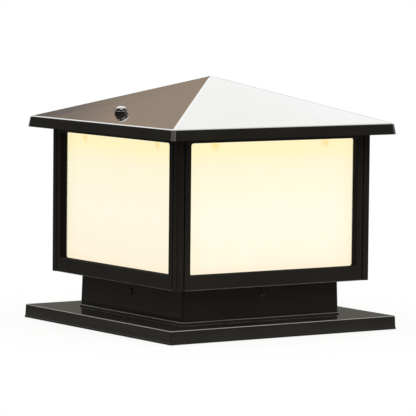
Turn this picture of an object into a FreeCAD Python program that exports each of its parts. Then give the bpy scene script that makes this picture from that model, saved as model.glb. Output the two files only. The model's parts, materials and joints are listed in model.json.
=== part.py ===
"""Deck post cap light: a square lantern on a low neck and a flat base, under a pyramid roof.

Millimetres, +Z up. The origin is the centre of the base, on the plane that the light stands on.
The front face looks along -Y, the left one along -X. Each piece is one solid in its own file;
sets of the same fastener share a file as separate solids.
"""

import FreeCAD
import Part
import math
import os

from FreeCAD import Vector

# ---------------------------------------------------------------- driving dimensions
# Base: a pressed pan, open underneath.
BASE_WIDTH = 302.8
BASE_HEIGHT = 15.2
BASE_SPLAY = 0.9          # how far each skirt leans out at its foot
BASE_CORNER = 1.2
BASE_SHEET = 1.5
BASE_EDGE = 1.1           # bend radius along the top edge

# Fixing rails under the base, and the holes that take the post bolts.
RAIL_SHEET = 2.0
RAIL_WIDTH = 32.0
RAIL_FOOT = 12.0
RAIL_OVERRUN = 25.0       # how far a rail runs past its bolts
BOLT_INSET = 25.6         # post bolt axis inside the foot bolt's axis
BOLT_HOLE = 9.0
WIRING_HOLE = 120.0       # the post's cable comes up through it

# Neck: a slightly tapered box with a thick foot.
NECK_STEP = 24.8          # how far the neck stands inside the lantern's face
NECK_HEIGHT = 39.3
NECK_SPLAY = 1.4
NECK_SHEET = 1.5
NECK_CORNER = 2.5
FOOT_STEP = 1.4           # how far the foot stands out of the wall
FOOT_HEIGHT = 1.8
FOOT_FLANGE = 18.0        # flange turned in, for the foot bolts
NECK_SCREW_DROP = 12.5    # screw axis below the lantern
NECK_SCREW_HEAD = 6.4
NECK_SCREW_HEAD_HEIGHT = 1.6
NECK_SCREW_LENGTH = 10.0

# Lantern body.
BODY_WIDTH = 259.0
POST_LEG = 8.5
POST_CORNER = 1.6
POST_PORT = 3.4           # screw port through each post
POST_FIN = 3.3            # how far the inner fins reach behind the face frames
POST_WALL = 1.5
POST_WEB = 0.88           # how far the post's core reaches into the groove
JOINT_GAP = 1.4           # shadow groove between a post and a face frame
STILE = 8.0
FRAME_SHEET = 1.5
FRAME_LIP = 14.0          # lip under the floor
FRAME_TOP_LIP = 9.0
FRAME_LIP_CUT = 7.0       # how far the lips stop short of the frame's ends
SILL_HEIGHT = 16.5
WINDOW_HEIGHT = 144.0
HEAD_HEIGHT = 11.0        # rail above the window
WINDOW_CORNER = 3.0
WINDOW_RETURN = 8.5
WINDOW_EDGE = 1.2         # bend radius round the window
SEAL_THICKNESS = 0.8
SEAL_WIDTH = 3.5
PANEL_THICKNESS = 3.0
PANEL_SIDE = 3.8          # how far a panel reaches past the window at each side
PANEL_TOP = 4.0
FLOOR_SHEET = 1.5
FLOOR_CLEARANCE = 0.3
COLLAR_DEPTH = 20.0
COLLAR_SHEET = 2.0
COLLAR_CLEARANCE = 0.3
NECK_GASKET = 1.5

# Strips and clips that hold the panels.
STOP_END_GAP = 11.7       # from the end of a strip to the next side's strip
STOP_LEG = 10.0
STOP_SHEET = 1.2
CLIP_OFFSET = 73.0
CLIP_WIDTH = 10.0
CLIP_DROP = 15.0
CLIP_FOOT = 14.0
CLIP_SHEET = 1.0
FOOT_SCREW_PLACE = 0.6    # share of a strip's or clip's foot

# Head ring, studs and roof gasket.
RING_SHEET = 1.5
RING_MARGIN = 1.0
RING_WIDTH = 30.0
RING_CORNER = 3.0
ROOF_GASKET = 1.8
GASKET_INSET = 2.0        # gasket edge inside the ring's edge
GASKET_WIDTH = 12.0
STUD_INSET = 9.5          # stud axis inside the body's face
STUD_DIAMETER = 8.0
STUD_HEIGHT = 18.5

# Roof.
EAVE_OVERHANG = 19.3      # how far the eave stands out over the lantern's face
EAVE_DEPTH = 11.5
EAVE_SPLAY = 1.7
EAVE_CORNER = 2.4
EAVE_SHEET = 1.5
EAVE_MOUTH_GAP = 11.0     # between the lantern's face and the flange turned in at the band's foot
LEDGE_OVERLAP = 16.0      # how far the ledge reaches in over the body
ROOF_RISE = 50.1
ROOF_SHEET = 1.5
RIM_RUN = 3.0             # the folded edge is steeper than the slopes
RIM_RISE = 2.0
APEX_WIDTH = 2.4
APEX_CORNER = 0.9

# Roof nuts.
NUT_FLATS = 13.0
NUT_HEX_HEIGHT = 2.2
NUT_DOME_HEIGHT = 3.6
WASHER_DIAMETER = 14.4
WASHER_LEAST = 0.3        # the tapered washer at its thin side
STUD_CLEARANCE = 0.6      # radial, where the stud passes the roof
SPACER_WALL = 2.0

# Lamp and its holder.
BRACKET_LENGTH = 62.0
BRACKET_WIDTH = 30.0
BRACKET_HEIGHT = 11.0
BRACKET_FOOT = 12.0
BRACKET_SHEET = 1.5
HOLDER_DIAMETER = 40.0
HOLDER_HEIGHT = 42.0
HOLDER_FLOOR = 13.0
HOLDER_FOOT_STEP = 2.0
HOLDER_FOOT_HEIGHT = 5.0
HOLDER_SHOULDER = 3.0
HOLDER_DRAFT = 1.0
HOLDER_BEVEL = 2.0
HOLDER_RIM = 2.5
SHELL_DIAMETER = 29.0
SHELL_WALL = 1.1
SHELL_HEIGHT = 25.0
SHELL_INSET = 3.0         # the shell's top below the holder's top
CONTACT_DIAMETER = 9.0
CONTACT_HEIGHT = 3.0
CAP_CLEARANCE = 0.1       # radial, between the lamp's cap and the screw shell
CAP_LENGTH = 24.0
CAP_TIP = 2.0
CAP_TIP_RADIUS = 4.0
CAP_TIP_FLARE = 1.0
CAP_BEVEL = 3.0
LAMP_DIAMETER = 60.0
LAMP_BODY_HEIGHT = 34.0
LAMP_COLLAR = 28.0
LAMP_COLLAR_HEIGHT = 6.0
LAMP_COLLAR_FLARE = 1.0
LAMP_SHOULDER = 8.0
LAMP_SHOULDER_STEP = 3.0
LAMP_EDGE = 1.0           # step between the body and the diffuser
LAMP_GLOBE_HEIGHT = 46.0
RUNNING_GAP = 0.3         # between pieces that turn on each other

# Cable gland, terminal block, earth stud and wires.
GLAND_X = 0.0
GLAND_Y = 44.0
GLAND_THREAD = 20.0
GLAND_FLATS = 24.0
GLAND_HEX_HEIGHT = 6.0
GLAND_BARREL = 9.0        # barrel below the hexagon that holds the seal
GLAND_BARREL_WIDTH = 18.0
GLAND_MOUTH = 12.0        # bore of the body and of the cap
GLAND_CAP_HEIGHT = 11.0
GLAND_CAP_BEVEL = 3.0
GLAND_CAP_GAP = 1.0       # below the body's hexagon
GLAND_NUT_HEIGHT = 4.5
GLAND_ABOVE = 7.0
CABLE_BORE = 10.0
SEAL_WALL = 2.2
BLOCK_X = -62.0
BLOCK_Y = -46.0
BLOCK_LENGTH = 34.0
BLOCK_WIDTH = 20.0
BLOCK_HEIGHT = 16.0
BLOCK_CHAMFER = 1.5
WELL_WIDTH = 4.5
WELL_DEPTH = 4.0
BLOCK_POLES = 3
POLE_PITCH = 10.0
EARTH_X = -62.0
EARTH_Y = 20.0
EARTH_HEAD_HEIGHT = 3.5
EARTH_ABOVE = 12.0
TERMINAL_DEPTH = 5.0      # how deep a wire goes into the block
WIRE_DIAMETER = 2.6
WIRE_AIM = 9.0            # where the wires meet the holder, off its centre line
LAMP_WIRE_LEAD = 15.0     # straight out of the block
LAMP_WIRE_TURN = 6.0
LAMP_WIRE_HUMP = 5.0
LAMP_WIRE_END = 13.0
LAMP_WIRE_RISE = 2.0
LAMP_WIRE_BITE = 1.0      # how far a wire's end reaches past the holder's side
EARTH_WIRE_LEAD = 11.0
EARTH_WIRE_TURN = 2.0
EARTH_WIRE_BOW = 2.0
EARTH_WIRE_HUMP = 3.0
EARTH_WIRE_END = 9.0
EARTH_WIRE_SIDE = 3.0
EARTH_WIRE_DIP = 2.0
EARTH_WIRE_BITE = 1.0

# Fasteners.
SMALL_SCREW = 3.0
SMALL_HEAD = 5.5
SMALL_HEAD_HEIGHT = 1.7
SMALL_LENGTH = 5.0
RING_SCREW = 4.0
RING_SCREW_HEAD = 7.0
RING_SCREW_LENGTH = 14.0
FOOT_BOLT = 5.0
FOOT_BOLT_HEAD = 9.0
FOOT_BOLT_HEAD_HEIGHT = 3.0
FOOT_NUT_FLATS = 8.0
FOOT_NUT_HEIGHT = 4.0
THREAD_CLEARANCE = 0.05   # radial, between a thread and what it screws into
HOLE_CLEARANCE = 0.25     # radial, where a screw passes a sheet
BOLT_END = 1.0            # how far a foot bolt shows below its nut

# Modelling allowances.
PAST = 1.0                # how far a cutting tool runs past its piece
TOUCH = 0.01              # two places this near are the same one
LEAST_CORNER = 0.5        # inside corner radius where the sheet is thicker than the outside one

# ---------------------------------------------------------------- heights and half widths
BASE_HALF = BASE_WIDTH / 2
BODY_HALF = BODY_WIDTH / 2
NECK_HALF = BODY_HALF - NECK_STEP
EAVE_HALF = BODY_HALF + EAVE_OVERHANG

BODY_BOTTOM = BASE_HEIGHT + NECK_HEIGHT
FLOOR_BOTTOM = BODY_BOTTOM + FRAME_SHEET
FLOOR_TOP = FLOOR_BOTTOM + FLOOR_SHEET
NECK_TOP = FLOOR_BOTTOM - NECK_GASKET
WINDOW_BOTTOM = BODY_BOTTOM + SILL_HEIGHT
WINDOW_TOP = WINDOW_BOTTOM + WINDOW_HEIGHT
BODY_TOP = WINDOW_TOP + HEAD_HEIGHT
RING_TOP = BODY_TOP + RING_SHEET
LEDGE_BOTTOM = RING_TOP + ROOF_GASKET
EAVE_TOP = LEDGE_BOTTOM + EAVE_SHEET
EAVE_BOTTOM = EAVE_TOP - EAVE_DEPTH
APEX = EAVE_TOP + ROOF_RISE

FRAME_END = BODY_HALF - POST_LEG - JOINT_GAP
WINDOW_HALF = FRAME_END - STILE
SEAL_DEPTH = WINDOW_RETURN
PANEL_DEPTH = SEAL_DEPTH + SEAL_THICKNESS
PANEL_BACK = BODY_HALF - PANEL_DEPTH - PANEL_THICKNESS
PANEL_HALF = WINDOW_HALF + PANEL_SIDE
POST_INNER = BODY_HALF - POST_LEG
FLOOR_HALF = BODY_HALF - FRAME_SHEET - FLOOR_CLEARANCE
FLOOR_NOTCH = POST_INNER - POST_FIN - FLOOR_CLEARANCE
RING_HALF = BODY_HALF - RING_MARGIN
STUD_X = BODY_HALF - STUD_INSET
COLLAR_HALF = NECK_HALF - NECK_SHEET - COLLAR_CLEARANCE
NECK_SCREW_Z = BODY_BOTTOM - NECK_SCREW_DROP
NECK_SLOPE = NECK_SPLAY / (NECK_TOP - BASE_HEIGHT)
NECK_SCREW_SEAT = NECK_HALF + NECK_SLOPE * (NECK_TOP - NECK_SCREW_Z + NECK_SCREW_HEAD / 2)
FOOT_BOLT_X = NECK_HALF + NECK_SPLAY - NECK_SHEET - FOOT_FLANGE / 2
BOLT_OFFSET = FOOT_BOLT_X - BOLT_INSET
BASE_INSIDE = BASE_HEIGHT - BASE_SHEET

HOLDER_BOTTOM = FLOOR_TOP + BRACKET_HEIGHT
HOLDER_TOP = HOLDER_BOTTOM + HOLDER_HEIGHT
SHELL_RADIUS = SHELL_DIAMETER / 2
SHELL_BORE = SHELL_RADIUS - SHELL_WALL
SHELL_TOP = HOLDER_TOP - SHELL_INSET
CAP_RADIUS = SHELL_BORE - CAP_CLEARANCE
LAMP_BOTTOM = HOLDER_TOP + RUNNING_GAP
STOP_X = PANEL_BACK - STOP_SHEET

SIDES = ("front", "right", "back", "left")
CORNERS = ("front_left", "front_right", "back_right", "back_left")

UP = Vector(0, 0, 1)
pieces = {}


# ---------------------------------------------------------------- shapes used by several pieces
def rounded_square(half, radius, z):
    """A square wire round the Z axis with a quarter arc at each corner."""
    flat = half - radius
    bow = radius * math.sqrt(0.5)
    edges = []
    for quarter in range(4):
        turn = FreeCAD.Rotation(UP, 90 * quarter)
        start = turn.multVec(Vector(-flat, -half, z))
        end = turn.multVec(Vector(flat, -half, z))
        middle = turn.multVec(Vector(flat + bow, -flat - bow, z))
        finish = turn.multVec(Vector(half, -flat, z))
        edges.append(Part.LineSegment(start, end).toShape())
        edges.append(Part.Arc(end, middle, finish).toShape())
    return Part.Wire(edges)


def frustum(half_low, half_high, z_low, z_high, radius_low, radius_high):
    """A solid between two rounded squares, with straight sloping sides."""
    low = rounded_square(half_low, radius_low, z_low)
    high = rounded_square(half_high, radius_high, z_high)
    return Part.makeLoft([low, high], True, True)


def block(x_low, x_high, y_low, y_high, z_low, z_high):
    """A plain box between two corners."""
    corner = Vector(x_low, y_low, z_low)
    return Part.makeBox(x_high - x_low, y_high - y_low, z_high - z_low, corner)


def slab(half, z_low, z_high):
    """A square plate round the Z axis."""
    return block(-half, half, -half, half, z_low, z_high)


def rod(diameter, z_low, z_high, x=0.0, y=0.0):
    """An upright cylinder."""
    return Part.makeCylinder(diameter / 2, z_high - z_low, Vector(x, y, z_low))


def hexagon(flats, z_low, z_high, x=0.0, y=0.0):
    """An upright hexagonal bar."""
    reach = flats / math.sqrt(3)
    points = [
        Vector(x + reach * math.cos(math.radians(60 * i)), y + reach * math.sin(math.radians(60 * i)), z_low)
        for i in range(7)
    ]
    return Part.Face(Part.makePolygon(points)).extrude(UP * (z_high - z_low))


def turned_profile(points):
    """A solid of revolution round the Z axis, from (radius, z) points."""
    outline = [Vector(radius, 0, z) for radius, z in points]
    face = Part.Face(Part.makePolygon(outline + outline[:1]))
    return face.revolve(Vector(0, 0, 0), UP, 360)


def on_side(shape, quarter):
    """A copy of a front piece, turned round to another side."""
    copy = shape.copy()
    copy.rotate(Vector(0, 0, 0), UP, 90 * quarter)
    return copy


def fused(first, *others):
    """One clean solid from pieces that meet."""
    return first.fuse(list(others)).removeSplitter()


def cut_all(shape, tools):
    """The shape without any of the tools."""
    for tool in tools:
        shape = shape.cut(tool)
    return shape


def window_prism(grow, y_low, y_high):
    """The window's outline, grown all round, between two depths of the front face."""
    half = WINDOW_HALF + grow
    low = WINDOW_BOTTOM - grow
    high = WINDOW_TOP + grow
    radius = WINDOW_CORNER + grow
    solid = block(-half, half, y_low, y_high, low, high)
    corners = [edge for edge in solid.Edges if edge.BoundBox.YLength > (y_high - y_low) / 2]
    return solid.makeFillet(radius, corners)


def pan_screw(thread, head, head_height, length, z_seat, x, y):
    """A pan head screw that points down, with its head on z_seat and a cross recess."""
    shank = rod(thread, z_seat - length, z_seat + head_height / 2, x, y)
    crown = rod(head, z_seat, z_seat + head_height, x, y)
    rim = [edge for edge in crown.Edges if edge.BoundBox.ZMin > z_seat + head_height / 2]
    crown = crown.makeFillet(head_height * 0.4, [edge for edge in rim if edge.BoundBox.XLength > head / 2])
    screw = fused(crown, shank)
    arm = head * 0.3
    slot = head * 0.06
    depth = z_seat + head_height * 0.5
    top = z_seat + head_height + 1
    cross = fused(
        block(x - arm, x + arm, y - slot, y + slot, depth, top),
        block(x - slot, x + slot, y - arm, y + arm, depth, top),
    )
    return screw.cut(cross)


def route_tube(points, diameter):
    """A wire along straight runs joined by tangent arcs, each as wide as its runs allow."""
    edges = []
    start = points[0]
    least = None
    for before, corner, after in zip(points, points[1:], points[2:]):
        back = before - corner
        ahead = after - corner
        turn = math.pi - back.getAngle(ahead)
        reach = 0.45 * min(back.Length, ahead.Length)
        radius = reach / math.tan(turn / 2)
        least = radius if least is None else min(least, radius)
        back.normalize()
        ahead.normalize()
        arc_start = corner + back * reach
        arc_end = corner + ahead * reach
        to_centre = (back + ahead).normalize()
        middle = corner + to_centre * (radius / math.cos(turn / 2) - radius)
        edges.append(Part.LineSegment(start, arc_start).toShape())
        edges.append(Part.Arc(arc_start, middle, arc_end).toShape())
        start = arc_end
    edges.append(Part.LineSegment(start, points[-1]).toShape())
    path = Part.Wire(edges)
    first = points[1] - points[0]
    section = Part.Wire(Part.makeCircle(diameter / 2, points[0], first))
    tube = path.makePipeShell([section], True, False)
    share = tube.Volume / (math.pi * diameter ** 2 / 4 * path.Length)
    print(f"wire: {path.Length:.1f} mm long, least radius {least:.1f} mm, volume share {share:.3f}")
    return tube


# ---------------------------------------------------------------- base and neck
def foot_bolt_places():
    """The four bolts that hold the neck's foot, one on each side."""
    return [(FOOT_BOLT_X, 0), (0, FOOT_BOLT_X), (-FOOT_BOLT_X, 0), (0, -FOOT_BOLT_X)]


def post_bolt_places():
    """The rectangle of bolts that go into the post."""
    return [(sx * BOLT_OFFSET, sy * BOLT_OFFSET) for sx in (-1, 1) for sy in (-1, 1)]


def make_base():
    """The pan: a flat top with a skirt turned down and out, and its holes inside the neck."""
    outer = frustum(BASE_HALF + BASE_SPLAY, BASE_HALF, 0, BASE_HEIGHT, BASE_CORNER, BASE_CORNER)
    top_edges = [edge for edge in outer.Edges if edge.BoundBox.ZMin > BASE_HEIGHT - TOUCH]
    outer = outer.makeFillet(BASE_EDGE, top_edges)
    inner_corner = max(BASE_CORNER - BASE_SHEET, LEAST_CORNER)
    inner = frustum(
        BASE_HALF + BASE_SPLAY - BASE_SHEET, BASE_HALF - BASE_SHEET, 0, BASE_INSIDE, inner_corner, inner_corner
    )
    holes = [rod(BOLT_HOLE, 0, BASE_HEIGHT + PAST, x, y) for x, y in post_bolt_places()]
    holes += [
        rod(FOOT_BOLT + 2 * HOLE_CLEARANCE, 0, BASE_HEIGHT + PAST, x, y) for x, y in foot_bolt_places()
    ]
    holes.append(rod(WIRING_HOLE, 0, BASE_HEIGHT + PAST))
    return cut_all(outer.cut(inner), holes)


def make_rail(x):
    """A top-hat rail along Y that carries the base's top down to the post."""
    half = RAIL_WIDTH / 2
    wide = half + RAIL_FOOT
    y_high = BOLT_OFFSET + RAIL_OVERRUN
    y_low = -y_high
    rail = fused(
        block(x - half, x + half, y_low, y_high, BASE_INSIDE - RAIL_SHEET, BASE_INSIDE),
        block(x - half, x - half + RAIL_SHEET, y_low, y_high, 0, BASE_INSIDE),
        block(x + half - RAIL_SHEET, x + half, y_low, y_high, 0, BASE_INSIDE),
        block(x - wide, x - half + RAIL_SHEET, y_low, y_high, 0, RAIL_SHEET),
        block(x + half - RAIL_SHEET, x + wide, y_low, y_high, 0, RAIL_SHEET),
    )
    holes = [rod(BOLT_HOLE, 0, BASE_HEIGHT, x, y) for _, y in post_bolt_places()[:2]]
    return cut_all(rail, holes)


def make_neck():
    """The tapered box, with a thick foot outside and a bolting flange inside."""
    low_half = NECK_HALF + NECK_SPLAY
    outer = frustum(low_half, NECK_HALF, BASE_HEIGHT, NECK_TOP, NECK_CORNER, NECK_CORNER)
    foot_half = low_half + FOOT_STEP
    foot_corner = NECK_CORNER + FOOT_STEP
    foot = frustum(
        foot_half, foot_half, BASE_HEIGHT, BASE_HEIGHT + FOOT_HEIGHT, foot_corner, foot_corner
    )
    inner_corner = max(NECK_CORNER - NECK_SHEET, LEAST_CORNER)
    inner = frustum(
        low_half - NECK_SHEET, NECK_HALF - NECK_SHEET, BASE_HEIGHT, NECK_TOP, inner_corner, inner_corner
    )
    flange = slab(low_half - NECK_SHEET / 2, BASE_HEIGHT, BASE_HEIGHT + NECK_SHEET)
    flange = flange.cut(slab(low_half - NECK_SHEET - FOOT_FLANGE, BASE_HEIGHT, BASE_HEIGHT + NECK_SHEET))
    neck = fused(fused(outer, foot).cut(inner), flange)
    holes = [
        rod(FOOT_BOLT + 2 * HOLE_CLEARANCE, BASE_HEIGHT - PAST, BASE_HEIGHT + NECK_SHEET + PAST, x, y)
        for x, y in foot_bolt_places()
    ]
    radius = RING_SCREW / 2 + HOLE_CLEARANCE
    through = 2 * (low_half + FOOT_STEP)
    for axis in (Vector(1, 0, 0), Vector(0, 1, 0)):
        start = Vector(0, 0, NECK_SCREW_Z) - axis * (through / 2)
        holes.append(Part.makeCylinder(radius, through, start, axis))
    return cut_all(neck, holes)


def make_foot_bolts():
    """Four bolts down through the neck's foot and the base, and their nuts below."""
    seat = BASE_HEIGHT + NECK_SHEET
    length = NECK_SHEET + BASE_SHEET + FOOT_NUT_HEIGHT + BOLT_END
    bolts = []
    nuts = []
    for x, y in foot_bolt_places():
        bolts.append(pan_screw(FOOT_BOLT, FOOT_BOLT_HEAD, FOOT_BOLT_HEAD_HEIGHT, length, seat, x, y))
        nut = hexagon(FOOT_NUT_FLATS, BASE_INSIDE - FOOT_NUT_HEIGHT, BASE_INSIDE, x, y)
        bore = rod(FOOT_BOLT + 2 * THREAD_CLEARANCE, 0, BASE_HEIGHT, x, y)
        nuts.append(nut.cut(bore))
    return Part.makeCompound(bolts), Part.makeCompound(nuts)


def make_neck_gasket():
    """The strip between the neck's top edge and the lantern's floor."""
    outer = frustum(NECK_HALF, NECK_HALF, NECK_TOP, FLOOR_BOTTOM, NECK_CORNER, NECK_CORNER)
    return outer.cut(slab(NECK_HALF - NECK_SHEET, NECK_TOP, FLOOR_BOTTOM))


def make_neck_screw():
    """The front one of the four screws that hold the lantern's collar in the neck."""
    screw = pan_screw(
        RING_SCREW, NECK_SCREW_HEAD, NECK_SCREW_HEAD_HEIGHT, NECK_SCREW_LENGTH, NECK_SCREW_SEAT, 0, 0
    )
    screw.rotate(Vector(0, 0, 0), Vector(1, 0, 0), 90)
    screw.translate(Vector(0, 0, NECK_SCREW_Z))
    return screw


# ---------------------------------------------------------------- lantern body
def make_post():
    """The front left corner post: a rounded bar with a screw port and two fins behind the frames."""
    low = -BODY_HALF
    inner = -POST_INNER
    bar = block(low, inner, low, inner, BODY_BOTTOM, BODY_TOP)
    outside = [
        edge for edge in bar.Edges
        if edge.BoundBox.XMax < low + TOUCH and edge.BoundBox.YMax < low + TOUCH
    ]
    bar = bar.makeFillet(POST_CORNER, outside)
    fin_end = inner + POST_FIN
    core = block(inner - POST_WALL, inner + POST_WEB, inner - POST_WALL, inner + POST_WEB, BODY_BOTTOM, BODY_TOP)
    fin_x = block(inner, fin_end, inner, inner + POST_WALL, BODY_BOTTOM, BODY_TOP)
    fin_y = block(inner, inner + POST_WALL, inner, fin_end, BODY_BOTTOM, BODY_TOP)
    centre = low + POST_LEG / 2
    port = rod(POST_PORT, BODY_BOTTOM, BODY_TOP, centre, centre)
    return fused(bar, core, fin_x, fin_y).cut(port)


def make_face_frame():
    """The front face: a sheet with a window, folded in round the window and at all four edges."""
    face_y = -BODY_HALF
    sheet = block(-FRAME_END, FRAME_END, face_y, face_y + FRAME_SHEET, BODY_BOTTOM, BODY_TOP)
    round_window = window_prism(FRAME_SHEET, face_y, face_y + WINDOW_RETURN)
    side_depth = face_y + POST_LEG
    folds = [round_window]
    for x in (-FRAME_END, FRAME_END - FRAME_SHEET):
        folds.append(block(x, x + FRAME_SHEET, face_y, side_depth, BODY_BOTTOM, BODY_TOP))
    lip = FRAME_END - FRAME_LIP_CUT
    for z, depth in ((BODY_BOTTOM, FRAME_LIP), (BODY_TOP - FRAME_SHEET, FRAME_TOP_LIP)):
        folds.append(block(-lip, lip, face_y, face_y + depth, z, z + FRAME_SHEET))
    frame = fused(sheet, *folds).cut(window_prism(0, face_y - PAST, face_y + WINDOW_RETURN + PAST))
    window_edges = []
    for edge in frame.Edges:
        box = edge.BoundBox
        on_face = box.YMax < face_y + TOUCH
        inside = box.XMin > TOUCH - FRAME_END and box.XMax < FRAME_END - TOUCH
        if on_face and inside and box.ZMin > BODY_BOTTOM + TOUCH and box.ZMax < BODY_TOP - TOUCH:
            window_edges.append(edge)
    frame = frame.makeFillet(WINDOW_EDGE, window_edges)
    holes = [rod(SMALL_SCREW + 2 * THREAD_CLEARANCE, BODY_BOTTOM - PAST, FLOOR_BOTTOM + PAST, x, y)
             for x, y in floor_screw_places()]
    return cut_all(frame, holes)


def make_seal():
    """The front panel's seal, a flat strip round the back of the window."""
    y_low = -BODY_HALF + SEAL_DEPTH
    y_high = y_low + SEAL_THICKNESS
    return window_prism(SEAL_WIDTH, y_low, y_high).cut(window_prism(0, y_low - PAST, y_high + PAST))


def make_panel():
    """The front opal panel, which stands on the lantern's floor."""
    y_low = -BODY_HALF + PANEL_DEPTH
    return block(-PANEL_HALF, PANEL_HALF, y_low, y_low + PANEL_THICKNESS, FLOOR_TOP, WINDOW_TOP + PANEL_TOP)


def floor_screw_places():
    """Two screws that hold the floor to the front frame's bottom lip."""
    y = -BODY_HALF + (PANEL_DEPTH + FRAME_SHEET) / 2
    return [(-CLIP_OFFSET, y), (CLIP_OFFSET, y)]


def bracket_screw_places():
    """The two screws through the lamp bracket's feet."""
    x = BRACKET_LENGTH / 2 + BRACKET_FOOT / 2
    return [(-x, 0), (x, 0)]


def stop_screw_places():
    """The two screws through the front panel stop's foot."""
    y = -STOP_X + STOP_LEG * FOOT_SCREW_PLACE
    return [(-CLIP_OFFSET, y), (CLIP_OFFSET, y)]


def clip_screw_places():
    """The two screws through the front clips' feet."""
    y = -PANEL_BACK + CLIP_SHEET + CLIP_FOOT * FOOT_SCREW_PLACE
    return [(-CLIP_OFFSET, y), (CLIP_OFFSET, y)]


def make_floor():
    """The lantern's floor, notched round the posts, on the four bottom lips."""
    along = block(-FLOOR_NOTCH, FLOOR_NOTCH, -FLOOR_HALF, FLOOR_HALF, FLOOR_BOTTOM, FLOOR_TOP)
    floor = fused(along, on_side(along, 1))
    holes = [rod(GLAND_THREAD + 2 * HOLE_CLEARANCE, FLOOR_BOTTOM - PAST, FLOOR_TOP + PAST, GLAND_X, GLAND_Y)]
    holes.append(rod(FOOT_BOLT + 2 * THREAD_CLEARANCE, FLOOR_BOTTOM - PAST, FLOOR_TOP + PAST, EARTH_X, EARTH_Y))
    small = SMALL_SCREW + 2 * THREAD_CLEARANCE
    for x, y in bracket_screw_places():
        holes.append(rod(small, FLOOR_BOTTOM - PAST, FLOOR_TOP + PAST, x, y))
    for quarter in range(4):
        for x, y in floor_screw_places() + stop_screw_places():
            hole = rod(small, FLOOR_BOTTOM - PAST, FLOOR_TOP + PAST, x, y)
            holes.append(on_side(hole, quarter))
    return cut_all(floor, holes)


def make_collar():
    """The square collar under the floor that drops inside the neck."""
    low = FLOOR_BOTTOM - COLLAR_DEPTH
    collar = slab(COLLAR_HALF, low, FLOOR_BOTTOM).cut(slab(COLLAR_HALF - COLLAR_SHEET, low, FLOOR_BOTTOM))
    radius = RING_SCREW / 2 + THREAD_CLEARANCE
    holes = []
    for axis in (Vector(1, 0, 0), Vector(0, 1, 0)):
        start = Vector(0, 0, NECK_SCREW_Z) - axis * NECK_HALF
        holes.append(Part.makeCylinder(radius, 2 * NECK_HALF, start, axis))
    return cut_all(collar, holes)


def make_panel_stops():
    """Four angle strips on the floor that keep the panels' feet against their seals."""
    back = -PANEL_BACK
    half = PANEL_BACK - STOP_LEG - STOP_END_GAP
    stop = fused(
        block(-half, half, back, back + STOP_SHEET, FLOOR_TOP, FLOOR_TOP + STOP_LEG),
        block(-half, half, back, back + STOP_LEG, FLOOR_TOP, FLOOR_TOP + STOP_SHEET),
    )
    holes = [rod(SMALL_SCREW + 2 * THREAD_CLEARANCE, FLOOR_TOP - PAST, FLOOR_TOP + STOP_LEG, x, y)
             for x, y in stop_screw_places()]
    stop = cut_all(stop, holes)
    return Part.makeCompound([on_side(stop, quarter) for quarter in range(4)])


def make_panel_clips():
    """Eight angle clips under the head ring that press the panels' tops outwards."""
    back = -PANEL_BACK
    clips = []
    for x, y in clip_screw_places():
        x_low = x - CLIP_WIDTH / 2
        x_high = x + CLIP_WIDTH / 2
        clip = fused(
            block(x_low, x_high, back, back + CLIP_SHEET, BODY_TOP - CLIP_DROP, BODY_TOP),
            block(x_low, x_high, back, back + CLIP_FOOT, BODY_TOP - CLIP_SHEET, BODY_TOP),
        )
        hole = rod(SMALL_SCREW + 2 * THREAD_CLEARANCE, BODY_TOP - CLIP_DROP, BODY_TOP + PAST, x, y)
        clips.append(clip.cut(hole))
    return Part.makeCompound([on_side(clip, quarter) for quarter in range(4) for clip in clips])


def make_head_ring():
    """The flat ring that ties the posts together and carries the roof."""
    outer = frustum(RING_HALF, RING_HALF, BODY_TOP, RING_TOP, RING_CORNER, RING_CORNER)
    ring = outer.cut(slab(RING_HALF - RING_WIDTH, BODY_TOP, RING_TOP))
    holes = [rod(STUD_DIAMETER + 2 * TOUCH, BODY_TOP - PAST, RING_TOP + PAST, x, 0) for x in (-STUD_X, STUD_X)]
    small = SMALL_SCREW + 2 * THREAD_CLEARANCE
    for quarter in range(4):
        for x, y in clip_screw_places():
            holes.append(on_side(rod(small, BODY_TOP - PAST, RING_TOP + PAST, x, y), quarter))
        holes.append(on_side(ring_screw(THREAD_CLEARANCE), quarter))
    return cut_all(ring, holes)


def ring_screw(clearance):
    """The countersunk screw in the front left post, grown by a clearance for its hole."""
    centre = -BODY_HALF + POST_LEG / 2
    head = RING_SCREW_HEAD / 2 + clearance
    thread = POST_PORT / 2 - THREAD_CLEARANCE + clearance
    cone = Part.makeCone(thread, head, RING_SHEET, Vector(centre, centre, BODY_TOP))
    shank = rod(2 * thread, RING_TOP - RING_SCREW_LENGTH, BODY_TOP, centre, centre)
    return fused(cone, shank)


def make_studs():
    """The two studs that stand up out of the head ring, through the roof."""
    return Part.makeCompound([
        rod(STUD_DIAMETER, BODY_TOP, RING_TOP + STUD_HEIGHT, x, 0) for x in (-STUD_X, STUD_X)
    ])


def make_small_screws():
    """The set of small pan head screws: floor, panel stops, lamp bracket and panel clips."""
    def screw(seat, x, y):
        return pan_screw(SMALL_SCREW, SMALL_HEAD, SMALL_HEAD_HEIGHT, SMALL_LENGTH, seat, x, y)

    screws = [screw(FLOOR_TOP + BRACKET_SHEET, x, y) for x, y in bracket_screw_places()]
    for quarter in range(4):
        for x, y in floor_screw_places():
            screws.append(on_side(screw(FLOOR_TOP, x, y), quarter))
        for x, y in stop_screw_places():
            screws.append(on_side(screw(FLOOR_TOP + STOP_SHEET, x, y), quarter))
        for x, y in clip_screw_places():
            screws.append(on_side(screw(RING_TOP, x, y), quarter))
    return Part.makeCompound(screws)


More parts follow.
